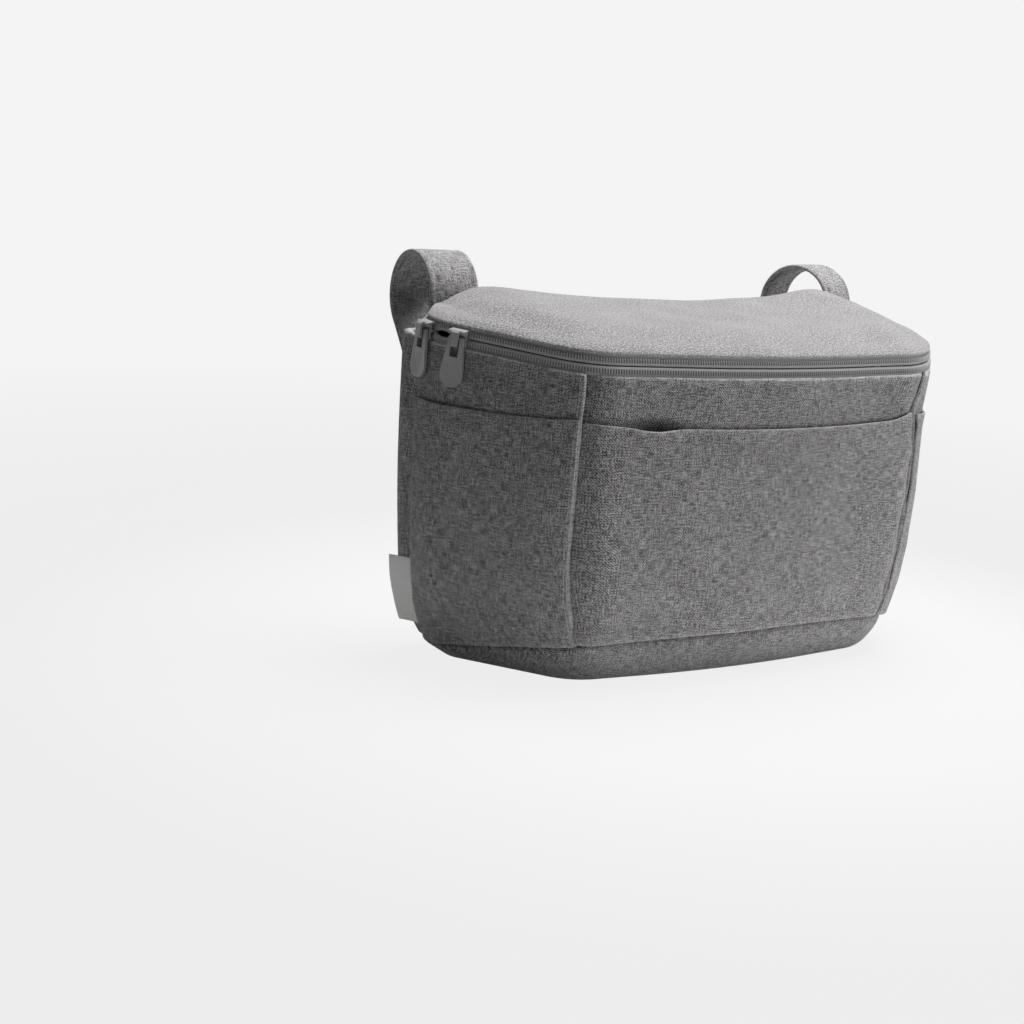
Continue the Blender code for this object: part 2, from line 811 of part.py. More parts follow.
def make_slider(name, station):
    """Slider: body, crown and shoulder in one casting."""
    body = extruded(name, body_profile(), SLIDER_LENGTH / 2, "metal")
    crown = extruded(name + "_crown_tool", crown_profile(), CROWN_WIDTH / 2, "metal")
    shoulder = extruded(name + "_shoulder_tool", shoulder_profile(), SHOULDER_WIDTH / 2, "metal")
    hidden_tool(crown, body, "UNION")
    hidden_tool(shoulder, body, "UNION")
    body.matrix_world = slider_frame(station)


def pull_outline():
    """Outline of the pull, hanging down from the middle of its top bar at height 0."""
    radius = PULL_BOTTOM_WIDTH / 2
    centre = radius - PULL_LENGTH + PULL_THICKNESS / 2
    half = PULL_TOP_WIDTH / 2
    lean = math.atan2(radius - half, -centre)
    points = [(half, 0)]
    steps = 12
    for step in range(steps + 1):
        angle = mix(lean, -math.pi - lean, step / steps)
        points.append((radius * math.cos(angle), centre + radius * math.sin(angle)))
    return points + [(-half, 0)]


def make_pull(name, station):
    """Flat pull with a window at its head for the crown's lower foot."""
    builder = bmesh.new()
    faces = []
    for y in (-PULL_THICKNESS / 2, PULL_THICKNESS / 2):
        faces.append([builder.verts.new((x, y, z)) for x, z in pull_outline()])
    builder.faces.new(faces[0])
    builder.faces.new(list(reversed(faces[1])))
    count = len(faces[0])
    for i in range(count):
        j = (i + 1) % count
        builder.faces.new((faces[0][i], faces[0][j], faces[1][j], faces[1][i]))
    pull = add_object(name, builder, "metal")
    radius = PULL_THICKNESS / 2
    turns = [math.tau * step / BAR_SIDES for step in range(BAR_SIDES)]
    bar = extruded(name + "_bar_tool", [(radius * math.cos(a), radius * math.sin(a)) for a in turns],
                   PULL_TOP_WIDTH / 2, "metal")
    hidden_tool(bar, pull, "UNION")
    window_top = -PULL_THICKNESS / 2
    window_low = window_top - PULL_WINDOW_LENGTH
    side = PULL_THICKNESS
    window = extruded(name + "_window_tool", [(-side, window_low), (side, window_low),
                                              (side, window_top), (-side, window_top)],
                      PULL_WINDOW_WIDTH / 2, "metal")
    hidden_tool(window, pull, "DIFFERENCE")
    bevel(pull, 0.35 * MM)
    frame = slider_frame(station)
    frame.translation = frame @ Vector((0, PULL_AXIS_OUT, 0))
    pull.matrix_world = frame


def make_sliders():
    """Both sliders are parked at the rear end of the zip on the -X side."""
    for word, station in (("front", -FRONT_SLIDER), ("rear", -REAR_SLIDER)):
        make_slider("slider_" + word, station)
        make_pull("pull_" + word, station)


def arc(centre, radius, first, last, count):
    """Points on an arc in the Y-Z plane, with their directions from its centre."""
    made = []
    for step in range(count + 1):
        angle = mix(first, last, step / count)
        way = Vector((math.cos(angle), math.sin(angle)))
        made.append((centre + way * radius, way))
    return made


STRAP_Y = BACK_Y + GAP + STRAP_CLOTH / 2
LOOP_RADIUS = BAR_DIAMETER / 2 + BAR_CLEARANCE + STRAP_CLOTH / 2
BAR_Y = STRAP_Y + LOOP_RADIUS
LOOP_PATCH_Y = BACK_Y + GAP
HOOK_PATCH_Y = LOOP_PATCH_Y + PATCH_THICKNESS + GAP
STRAP_END_Y = HOOK_PATCH_Y + PATCH_THICKNESS + GAP + STRAP_CLOTH / 2


def strap_path():
    """Strap's middle line in the Y-Z plane, with the way out from the bar's side."""
    path = [(Vector((STRAP_Y, STRAP_SEWN_Z)), Vector((-1, 0))),
            (Vector((STRAP_Y, mix(STRAP_SEWN_Z, BAR_Z, 0.5))), Vector((-1, 0)))]
    bar = Vector((BAR_Y, BAR_Z))
    bend = Vector((STRAP_END_Y + STRAP_BEND_RADIUS, STRAP_BEND_Z))
    between = bend - bar
    lean = math.acos((LOOP_RADIUS + STRAP_BEND_RADIUS) / between.length)
    leave = math.atan2(between.y, between.x) + lean
    path += arc(bar, LOOP_RADIUS, math.pi, leave, 16)
    turned = arc(bend, STRAP_BEND_RADIUS, leave + math.pi, math.pi, 4)
    path += [(point, -way) for point, way in turned]
    path.append((Vector((STRAP_END_Y, STRAP_END_Z)), Vector((1, 0))))
    return path


def make_strap(side, word):
    """Bar loop: sewn to the back panel, over the bar, and back down to the patches."""
    middle = side * STRAP_X
    edges = (middle - STRAP_WIDTH / 2, middle + STRAP_WIDTH / 2)
    grids = []
    for sign in (0.5, -0.5):
        grid = []
        for point, way in strap_path():
            place = point + way * (STRAP_CLOTH * sign)
            grid.append([Vector((x, place.x, place.y)) for x in edges])
        grids.append(grid)
    sheet("strap_" + word, grids[0], grids[1], "cloth")


def make_patch(name, middle, y, top, margin):
    """Flat patch of hook or loop tape."""
    half = STRAP_WIDTH / 2 - margin
    low = top - PATCH_LENGTH
    grids = []
    for place in (y + PATCH_THICKNESS, y):
        grids.append([[Vector((middle + x, place, z)) for x in (-half, half)] for z in (low, top)])
    sheet(name, grids[0], grids[1], "hook")


def make_straps():
    """The two bar loops with their fastenings on the back panel."""
    for side, word in ((-1, "left"), (1, "right")):
        make_strap(side, word)
        top = STRAP_BEND_Z - PATCH_MARGIN
        make_patch("loop_patch_" + word, side * STRAP_X, LOOP_PATCH_Y, top, 0)
        make_patch("hook_patch_" + word, side * STRAP_X, HOOK_PATCH_Y, top, PATCH_MARGIN)


def make_label():
    """Small folded label, sewn into the seam beside the back strip on the -X side."""
    station = -along(STRIP_EDGE, 1.5 * MM)
    low = LABEL_TOP_Z - LABEL_HEIGHT
    grids = []
    for lift in (LABEL_THICKNESS, 0):
        grid = []
        for row in range(4):
            z = mix(low, LABEL_TOP_Z, row / 3)
            foot = wall_point(station, z, GAP + lift)
            _, normal = plan_place(station, z)
            out = Vector((normal.x, normal.y, 0))
            back = Vector((normal.y, -normal.x, 0))
            way = back * math.cos(LABEL_LEAN) + out * math.sin(LABEL_LEAN)
            grid.append([foot + way * (LABEL_LENGTH * step / 3) for step in range(4)])
        grids.append(grid)
    sheet("label_tab", grids[0], grids[1], "label")


def main():
    """Build the whole organizer."""
    for old in list(bpy.data.objects):
        bpy.data.objects.remove(old, do_unlink=True)
    make_walls()
    make_back()
    make_bottom()
    make_lid()
    make_zip()
    make_tabs()
    make_sliders()
    make_straps()
    make_label()
    bpy.context.view_layer.update()


main()
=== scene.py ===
# %% [markdown]
# # A stroller organizer in melange cloth
#
# This lesson dresses a measured CAD model of a small zipped bag that hangs from a push bar.
# The CAD model gives the sizes and the moving pieces: one zip slider and two pulls. Here the
# stiff CAD sheets are replaced by cloth with folds, seams, hems and stitches.
# Everything is in metres, with +Z up and the bag's front facing -Y.

import math

import bmesh
import bpy
import numpy as np
from mathutils import Matrix, Vector


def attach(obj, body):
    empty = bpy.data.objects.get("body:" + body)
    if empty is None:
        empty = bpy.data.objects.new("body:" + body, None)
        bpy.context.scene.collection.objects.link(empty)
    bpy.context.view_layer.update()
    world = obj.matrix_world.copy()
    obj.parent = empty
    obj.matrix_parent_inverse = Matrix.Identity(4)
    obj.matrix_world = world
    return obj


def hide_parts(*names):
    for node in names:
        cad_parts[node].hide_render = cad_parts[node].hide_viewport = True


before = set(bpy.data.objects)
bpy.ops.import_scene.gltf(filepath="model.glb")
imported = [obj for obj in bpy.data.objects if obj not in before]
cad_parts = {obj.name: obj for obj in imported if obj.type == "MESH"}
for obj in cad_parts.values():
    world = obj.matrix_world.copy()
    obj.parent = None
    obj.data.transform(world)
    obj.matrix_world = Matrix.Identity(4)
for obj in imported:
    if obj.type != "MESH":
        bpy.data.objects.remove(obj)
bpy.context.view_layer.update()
MM = 0.001

# %% [markdown]
# ## The camera
#
# The picture was taken from the bag's front left, a little above it, with a medium long lens.
# The bag leans a few degrees as it hangs, so the camera is rolled instead of the bag.
# The camera is placed by three angles, a distance and the point it looks at, which is easier
# to reason about than a matrix of bare numbers.

# %% Place the camera
CAMERA_TURN = math.radians(-31.98)
CAMERA_RISE = math.radians(12.04)
CAMERA_ROLL = math.radians(4.17)
CAMERA_DISTANCE = 837.7 * MM
CAMERA_TARGET = Vector((-122.45, 0, 84.27)) * MM
SENSOR_WIDTH = 36.0
FOCAL_PIXELS = 1602.4
PICTURE_PIXELS = 1024
LENS_LENGTH = FOCAL_PIXELS * SENSOR_WIDTH / PICTURE_PIXELS


def camera_axes():
    """Right, up and back directions of the rolled camera."""
    back = Vector((math.sin(CAMERA_TURN) * math.cos(CAMERA_RISE),
                   -math.cos(CAMERA_TURN) * math.cos(CAMERA_RISE),
                   math.sin(CAMERA_RISE)))
    level = Vector((0, 0, 1)).cross(back).normalized()
    upright = back.cross(level)
    right = level * math.cos(CAMERA_ROLL) + upright * math.sin(CAMERA_ROLL)
    up = upright * math.cos(CAMERA_ROLL) - level * math.sin(CAMERA_ROLL)
    return right, up, back


def new_object(name, data):
    """Object in the scene, from a mesh, a lamp or a camera."""
    made = bpy.data.objects.new(name, data)
    bpy.context.scene.collection.objects.link(made)
    return made


lens = bpy.data.cameras.new("camera")
lens.sensor_width = SENSOR_WIDTH
lens.lens = LENS_LENGTH
lens.clip_start = 0.01
camera = new_object("camera", lens)
right_way, up_way, back_way = camera_axes()
camera.matrix_world = Matrix((right_way, up_way, back_way)).transposed().to_4x4()
camera.location = CAMERA_TARGET + back_way * CAMERA_DISTANCE
bpy.context.scene.camera = camera
print("camera: %.1f mm lens at" % LENS_LENGTH, [round(c, 3) for c in camera.location])

# %% [markdown]
# ## The bag's pattern
#
# A bag like this is cut from flat panels, and every panel follows the same plan: a front that
# is almost straight, two slanted sides, short rear sides and a straight back, with rounded
# corners between them. The plan could be drawn as a bezier curve, but then the seams would be
# hard to find on it. Instead it is made of arcs and straight lines, and a place on it is found
# by its distance along the top edge, as on a tailor's tape. Distances below zero are on the
# bag's left half, with -X.

# %% Sizes of the pattern, the same as in the CAD model
RIM_CORNERS = [(0, -61), (117, -50), (162, 19), (166, 58), (0, 58)]
FLOOR_CORNERS = [(0, -60), (109, -49), (155, 18), (154, 58), (0, 58)]
WALL_RADII = (600, 45, 25, 14)
LID_RADII = (600, 45, 25, 23)
RIM_Z = 161.5
RIM_SLOPE = 0.098
ZIP_BAND = 11.0
LID_Z = RIM_Z + ZIP_BAND
FRONT_Y = -61.0
BACK_Y = 58.0
ROUND_HEIGHT = 44.0
ROUND_INSET = 16.5
SEAM_FRONT_Z = 25.0
SEAM_BACK_Z = 7.0
SEAM_FALL = 85.0
SIDE_BULGE = 3.0
BACK_STRIP = 19.0
STRIP_FULLNESS = 3.0
CORNER_FULLNESS = 2.6
RIGHT_FLARE = 8.8
FLARE_Y = -13.0
FLARE_WIDTH = 27.0
FLARE_LOW = 102.0
FRONT_SEAM = 2.5
BACK_START = 7
BACK_MIDDLE = 8
SIDES = ((-1, "left"), (1, "right"))


# %% Arcs and lines of the plan
def mix(a, b, t):
    """Value t of the way from a to b."""
    return a + (b - a) * t


def smooth(t):
    """Soft step from 0 to 1."""
    t = min(max(t, 0.0), 1.0)
    return t * t * (3 - 2 * t)


def outward(p, q):
    """Plan direction out of the bag, seen on the way from p to q."""
    way = (q - p).normalized()
    return Vector((way.y, -way.x))


def inset_corners(points, distance):
    """Corner points after every side has moved inward."""
    around = [Vector((-points[1].x, points[1].y))] + points
    around.append(Vector((-points[3].x, points[3].y)))
    moved = []
    for before, point, after in zip(around, around[1:], around[2:]):
        a = outward(before, point)
        b = outward(point, after)
        moved.append(point - (a + b) * (distance / (1 + a.dot(b))))
    return moved


PLANS = {}


def plan(z, inset=0.0, lid=False):
    """Half plan at a height: four arcs with a straight line after each."""
    key = (round(z, 4), round(inset, 4), lid)
    if key in PLANS:
        return PLANS[key]
    share = min(max(z / RIM_Z, 0), 1)
    corners = [Vector(f).lerp(Vector(r), share) for f, r in zip(FLOOR_CORNERS, RIM_CORNERS)]
    corners = inset_corners(corners, inset)
    around = [Vector((-corners[1].x, corners[1].y))] + corners
    pieces = []
    start = None
    for number, radius in enumerate(LID_RADII if lid else WALL_RADII):
        radius = max(radius - inset, 1.0)
        before, point, after = around[number:number + 3]
        a = (point - before).normalized()
        b = (after - point).normalized()
        turn = -a.angle_signed(b)
        reach = radius * math.tan(turn / 2)
        centre = point - a * reach + Vector((-a.y, a.x)) * radius
        first = math.atan2(-a.x, a.y)
        if start is None:
            first += turn / 2
            turn /= 2
        else:
            pieces.append((start, point - a * reach))
        pieces.append((centre, radius, first, turn))
        start = point + b * reach
    pieces.append((start, corners[-1]))
    PLANS[key] = pieces
    return pieces


def place(station, z, inset=0.0, lid=False):
    """Plan point and direction out of the bag; a station counts the plan's pieces."""
    whole = min(int(abs(station)), BACK_MIDDLE - 1)
    share = abs(station) - whole
    piece = plan(z, inset, lid)[whole]
    if len(piece) == 4:
        centre, radius, first, turn = piece
        angle = first + turn * share
        out = Vector((math.cos(angle), math.sin(angle)))
        point = centre + out * radius
    else:
        out = outward(*piece)
        point = piece[0].lerp(piece[1], share)
    if station < 0:
        return Vector((-point.x, point.y)), Vector((-out.x, out.y))
    return point, out


# %% The tape measure along the plan
def piece_lengths(lid):
    """Length of each piece of the half plan at the top edge."""
    pieces = plan(RIM_Z, 0.0, lid)
    return [p[1] * p[3] if len(p) == 4 else (p[1] - p[0]).length for p in pieces]


LENGTHS = {False: piece_lengths(False), True: piece_lengths(True)}


def run(station, lid=False):
    """Distance of a station along the top edge from the middle of the front."""
    whole = min(int(abs(station)), BACK_MIDDLE - 1)
    lengths = LENGTHS[lid]
    return math.copysign(sum(lengths[:whole]) + lengths[whole] * (abs(station) - whole), station)


def station_at(distance, lid=False):
    """Station at a distance along the top edge."""
    left = abs(distance)
    whole = 0
    while whole < BACK_MIDDLE - 1 and left > LENGTHS[lid][whole]:
        left -= LENGTHS[lid][whole]
        whole += 1
    return math.copysign(whole + left / LENGTHS[lid][whole], distance)


SEAM_RUN = run(FRONT_SEAM)
STRIP_RUN = run(6) + WALL_RADII[3] - BACK_STRIP
ROUND_RUN = run(BACK_MIDDLE)
print("top edge: %.0f mm round the bag" % (2 * ROUND_RUN))


# %% Wander of the two upright front seams
SEAM_HEIGHTS = (22, 28, 48, 68, 100, 136, 142, 150, 157, 166)
SEAM_SHIFTS = {-1: (-2.4, 1.0, 4.4, 5.1, 3.7, 2.4, 2.0, 1.0, 0.8, 0.6),
               1: (-8.0, -7.5, -6.0, -4.0, -2.0, -4.0, -7.5, -3.0, 0.0, 4.0)}
SEAM_SHIFT_WIDTH = 26.0


def seam_shift(d, z):
    """How far the load has pushed the cloth beside a front seam along the skin."""
    side = 1 if d > 0 else -1
    near = (abs(d) - SEAM_RUN) / SEAM_SHIFT_WIDTH
    return side * np.interp(z, SEAM_HEIGHTS, SEAM_SHIFTS[side]) * math.exp(-near * near)


# %% Heights of the panels
def rim_height(y):
    """Height of the walls' top edge, which rises towards the back."""
    return RIM_Z + RIM_SLOPE * (y - FRONT_Y)


def rim_z(station):
    """Height of the walls' top edge at a station."""
    return rim_height(place(station, RIM_Z)[0].y)


def seam_z(station):
    """Height of the seam round the bottom panel."""
    share = min((place(station, RIM_Z)[0].y - FRONT_Y) / SEAM_FALL, 1)
    return mix(SEAM_FRONT_Z, SEAM_BACK_Z, share)


def corner_bulge(station, z):
    """Fullness of the soft front corner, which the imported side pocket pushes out."""
    across = (abs(run(station)) - SEAM_RUN - 4) / 24
    up = max(0.0, math.sin(math.pi * min(max((z - 8) / 135, 0), 1)))
    return CORNER_FULLNESS * math.exp(-across * across) * up


def strip_fullness(station, z):
    """Padding of the narrow strip at each rear corner, where the back panel shows."""
    past = (abs(run(station)) - STRIP_RUN - 10) / 8
    return STRIP_FULLNESS * math.exp(-past * past) * smooth((z - 8) / 34)


def right_flare(point, z):
    """How far the load pushes the top of the slanted right side out."""
    near = (point.y - FLARE_Y) / FLARE_WIDTH
    return (RIGHT_FLARE * math.exp(-near * near) * smooth((point.x - 80) / 40)
            * smooth((z - FLARE_LOW) / (RIM_Z + ZIP_BAND - FLARE_LOW)))


def wall(station, z, out=0.0):
    """Point on the bag's skin in mm, pushed out of it by a distance."""
    inset = 0.0
    if z < ROUND_HEIGHT:
        share = (ROUND_HEIGHT - z) / ROUND_HEIGHT
        inset = ROUND_INSET * (1 - math.sqrt(max(1 - share * share, 0)))
    point, way = place(station, min(z, RIM_Z), inset)
    bulge = SIDE_BULGE * way.x ** 2 * math.sin(math.pi * min(max(z / RIM_Z, 0), 1))
    full = corner_bulge(station, z) + strip_fullness(station, z) + right_flare(point, z)
    point = point + way * (out + bulge + full)
    return Vector((point.x, point.y, z))
# %% [markdown]
# ## Colours
#
# Colours are written as the sRGB hex values that a picture shows. Blender's shaders work with
# linear light, so one function turns every hex value into linear numbers.

# %% Hex colours to linear light
def linear(hex_colour):
    """Linear RGBA from an sRGB hex colour."""
    numbers = [int(hex_colour[i:i + 2], 16) / 255 for i in (1, 3, 5)]
    made = [c / 12.92 if c <= 0.04045 else ((c + 0.055) / 1.055) ** 2.4 for c in numbers]
    return (*made, 1.0)


def add(tree, kind, settings=None, **inputs):
    """Node with its settings, its values and its links."""
    node = tree.nodes.new("ShaderNode" + kind)
    for name, value in (settings or {}).items():
        setattr(node, name, value)
    for name, value in inputs.items():
        key = int(name[1:]) if name[1:].isdigit() else name.replace("_", " ")
        if isinstance(value, bpy.types.NodeSocket):
            tree.links.new(value, node.inputs[key])
        else:
            node.inputs[key].default_value = value
    return node


def principled(name, base, roughness, specular=0.5, sheen=0.0, metallic=0.0):
    """Material with one Principled shader, ready for pattern nodes."""
    made = bpy.data.materials.new(name)
    made.use_nodes = True
    shader = made.node_tree.nodes["Principled BSDF"]
    shader.inputs["Base Color"].default_value = linear(base)
    shader.inputs["Roughness"].default_value = roughness
    shader.inputs["Specular IOR Level"].default_value = specular
    shader.inputs["Sheen Weight"].default_value = sheen
    shader.inputs["Metallic"].default_value = metallic
    return made, made.node_tree, shader


def math_node(tree, operation, first, second=0.0):
    """Output of a Math node."""
    return add(tree, "Math", {"operation": operation}, _0=first, _1=second).outputs[0]


def cloth_map(tree):
    """The cloth's own map in metres, and its two directions."""
    where = add(tree, "UVMap", {"uv_map": "cloth"}).outputs["UV"]
    parts = add(tree, "SeparateXYZ", Vector=where)
    return where, parts.outputs["X"], parts.outputs["Y"]


def object_map(tree):
    """Place in the object's own space, in metres."""
    return add(tree, "TexCoord").outputs["Object"]


def noise_node(tree, where, size, **inputs):
    """Noise with lumps of a size in metres."""
    return add(tree, "TexNoise", Vector=where, Scale=1 / size,
               **{"Detail": 2.0, **inputs}).outputs["Fac"]


def colour_by(tree, shader, factor, low, high):
    """Colour a shader by a ramp from one hex colour to another."""
    node = add(tree, "ValToRGB", Fac=factor)
    for element, colour in zip(node.color_ramp.elements, (low, high)):
        element.color = linear(colour)
    tree.links.new(node.outputs["Color"], shader.inputs["Base Color"])
    return node.color_ramp


def bump_by(tree, shader, height, strength, depth):
    """Fine relief of a depth in metres."""
    bump = add(tree, "Bump", Strength=strength, Distance=depth, Height=height)
    tree.links.new(bump.outputs["Normal"], shader.inputs["Normal"])
    return bump


print("mid grey as linear light:", round(linear("#8a8889")[0], 3))

# %% [markdown]
# ## The melange cloth
#
# The cloth is a plain weave of polyester yarns, each spun from darker and lighter fibres. That
# gives the grey its short streaks, called slubs: some run along the warp and some along the
# weft. A flat grey, or a photo-like noise, would look like stone. So the tone of each yarn
# comes from a noise that is stretched along that yarn, and a checker picks which yarn lies on
# top. The real yarns are about 0.5 mm apart, too fine for this picture, so they are drawn
# 0.7 mm apart. The streaks are as long as the real ones, 4 to 12 mm, and a faint slanted
# line every 1.5 mm gives the twill that the front shows. A sheet's folded edges catch the
# light, so the sheets below carry a number that is 1 on their folded edges, and the cloth is
# painted a little paler there: a painted highlight.

# %% Woven melange polyester
YARN_PITCH = 0.7 * MM
TWILL_PITCH = 1.5 * MM
TWILL_TONE = 0.04
HEATHER_SIZE = 0.75 * MM
PATCH_SIZE = 28 * MM
SLUB_STRETCH = 0.12
SHADE_DARK = "#4a4849"
SHADE_MID = "#8b898a"
SHADE_LIGHT = "#cbc9ca"
TONE_SPREAD = 0.09
LID_SPREAD = 1.65 * TONE_SPREAD
# Painted highlight: how much paler the folded edges are drawn.
FOLD_HIGHLIGHT = 0.07


def weigh(tree, *parts):
    """Sum of sockets, each times its weight, about a middle of a half."""
    total = 0.5 - 0.5 * sum(weight for _, weight, centred in parts if not centred)
    for socket, weight, _ in parts:
        total = add(tree, "Math", {"operation": "MULTIPLY_ADD"}, _0=socket, _1=weight,
                    _2=total).outputs[0]
    return total


def yarn_tone(tree, across, along, stretch, seed):
    """Tone of the yarns that run one way: a noise drawn out along the yarn."""
    spot = add(tree, "CombineXYZ", X=math_node(tree, "MULTIPLY", across, stretch[0]),
               Y=math_node(tree, "MULTIPLY", along, stretch[1]), Z=seed)
    return add(tree, "TexNoise", Vector=spot.outputs[0], Scale=1.0, Detail=2.0,
               Roughness=0.6).outputs["Fac"]


def woven_melange(name, stretch, spread, relief_strength):
    """Matt heathered canvas whose yarns follow the cloth's own map, drawn in metres."""
    made, tree, shader = principled(name, SHADE_MID, 0.92, specular=0.25, sheen=0.2)
    shader.inputs["Sheen Roughness"].default_value = 0.5
    where, map_x, map_y = cloth_map(tree)
    across = math_node(tree, "DIVIDE", map_x, YARN_PITCH)
    along = math_node(tree, "DIVIDE", map_y, YARN_PITCH)
    warp = yarn_tone(tree, across, along, (1.0, stretch), 7.0)
    weft = yarn_tone(tree, across, along, (stretch, 1.0), 3.0)
    waves = [math_node(tree, "SINE", math_node(tree, "MULTIPLY", turn, math.pi))
             for turn in (across, along)]
    over = math_node(tree, "MULTIPLY", *waves)
    on_top = add(tree, "MapRange", Value=over, _1=-0.35, _2=0.35).outputs[0]
    yarn = add(tree, "Mix", {"data_type": "FLOAT"}, _0=on_top, _2=warp, _3=weft).outputs[0]
    heather = noise_node(tree, where, HEATHER_SIZE, Roughness=0.6)
    patch = noise_node(tree, where, PATCH_SIZE)
    slant = math_node(tree, "ADD", map_x, map_y)
    twill = math_node(tree, "SINE", math_node(tree, "MULTIPLY", slant,
                                              2 * math.pi / TWILL_PITCH))
    # Folded edges are painted paler here, as a painted highlight.
    fold_highlight = add(tree, "Attribute", {"attribute_name": "fold_highlight"}).outputs["Fac"]
    tone = weigh(tree, (yarn, 0.64, False), (heather, 0.48, False), (patch, 0.06, False),
                 (twill, TWILL_TONE, True), (fold_highlight, FOLD_HIGHLIGHT, True))
    ramp = colour_by(tree, shader, tone, SHADE_DARK, SHADE_LIGHT)
    ramp.elements[0].position = 0.5 - spread
    ramp.elements[1].position = 0.5 + spread
    ramp.elements.new(0.5).color = linear(SHADE_MID)
    crests = math_node(tree, "MULTIPLY", math_node(tree, "ABSOLUTE", over), 0.6)
    relief = math_node(tree, "ADD", crests, tone)
    bump_by(tree, shader, relief, relief_strength, 0.3 * MM)
    return made


def shaded_lining_cloth(name):
    """Thin inner cloth, seen only inside the pockets' mouths; its dark grey is painted shade."""
    # Painted shade: the inner faces are drawn dark grey so the pockets' mouths look dark inside.
    made, tree, shader = principled(name, "#2c2b2d", 0.85, specular=0.3)
    grain = noise_node(tree, cloth_map(tree)[0], 0.8 * MM, Detail=1.0)
    colour_by(tree, shader, grain, "#232224", "#373638")
    return made


canvas = woven_melange("woven_melange_polyester", SLUB_STRETCH, TONE_SPREAD, 0.5)
lid_canvas = woven_melange("woven_melange_lid", 3 * SLUB_STRETCH, LID_SPREAD, 0.25)
shaded_lining = shaded_lining_cloth("polyester_lining_painted_shade")
print("cloth yarns drawn every %.2f mm" % (YARN_PITCH / MM))

# %% [markdown]
# ## Cutting a panel
#
# Each panel is a sheet of padded cloth with a folded edge. It starts as a grid of points on the
# bag's skin, a few millimetres apart, because a grid bends and wrinkles evenly. The sheet gets
# its thickness by a second grid behind the first, and a half round fold joins the two all the
# way round, as on a real hem. The cloth's map is kept in metres along the panel, so that the
# weave keeps its size on every panel.

# %% Sheet with thickness and folded edges
FOLD_STEPS = 3


def new_mesh(name, verts, faces, *finishes):
    """Smooth mesh with its materials."""
    mesh = bpy.data.meshes.new(name)
    mesh.from_pydata(verts, [], faces)
    for finish in finishes:
        mesh.materials.append(finish)
    mesh.shade_smooth()
    return mesh


def as_grids(columns):
    """Grids of points and of the cloth's map, from columns of (point, place on the map)."""
    pairs = [[(*point, *spot) for point, spot in column] for column in columns]
    both = np.array(pairs, float).swapaxes(0, 1)
    return np.ascontiguousarray(both[..., :3]), np.ascontiguousarray(both[..., 3:])


def grid_normals(points, flip):
    """Unit directions out of a grid of points."""
    by_row = np.gradient(points, axis=0)
    by_column = np.gradient(points, axis=1)
    normals = np.cross(by_column, by_row)
    normals /= np.linalg.norm(normals, axis=2, keepdims=True) + 1e-12
    return -normals if flip else normals


def border(rows, columns):
    """Places round the edge of a grid, in order."""
    ring = [(0, c) for c in range(columns)]
    ring += [(r, columns - 1) for r in range(1, rows)]
    ring += [(rows - 1, c) for c in range(columns - 2, -1, -1)]
    ring += [(r, 0) for r in range(rows - 2, 0, -1)]
    return ring


def edge_way(points, r, c):
    """Direction off the edge of a grid, of points or of its map, at a border place."""
    rows, columns = points.shape[:2]
    way = np.zeros(points.shape[2])
    for here, last, near in ((r, rows - 1, (1 if r == 0 else r - 1, c)),
                             (c, columns - 1, (r, 1 if c == 0 else c - 1))):
        if here in (0, last):
            step = points[r, c] - points[near]
            way += step / (np.linalg.norm(step) + 1e-12)
    return way / (np.linalg.norm(way) + 1e-12)


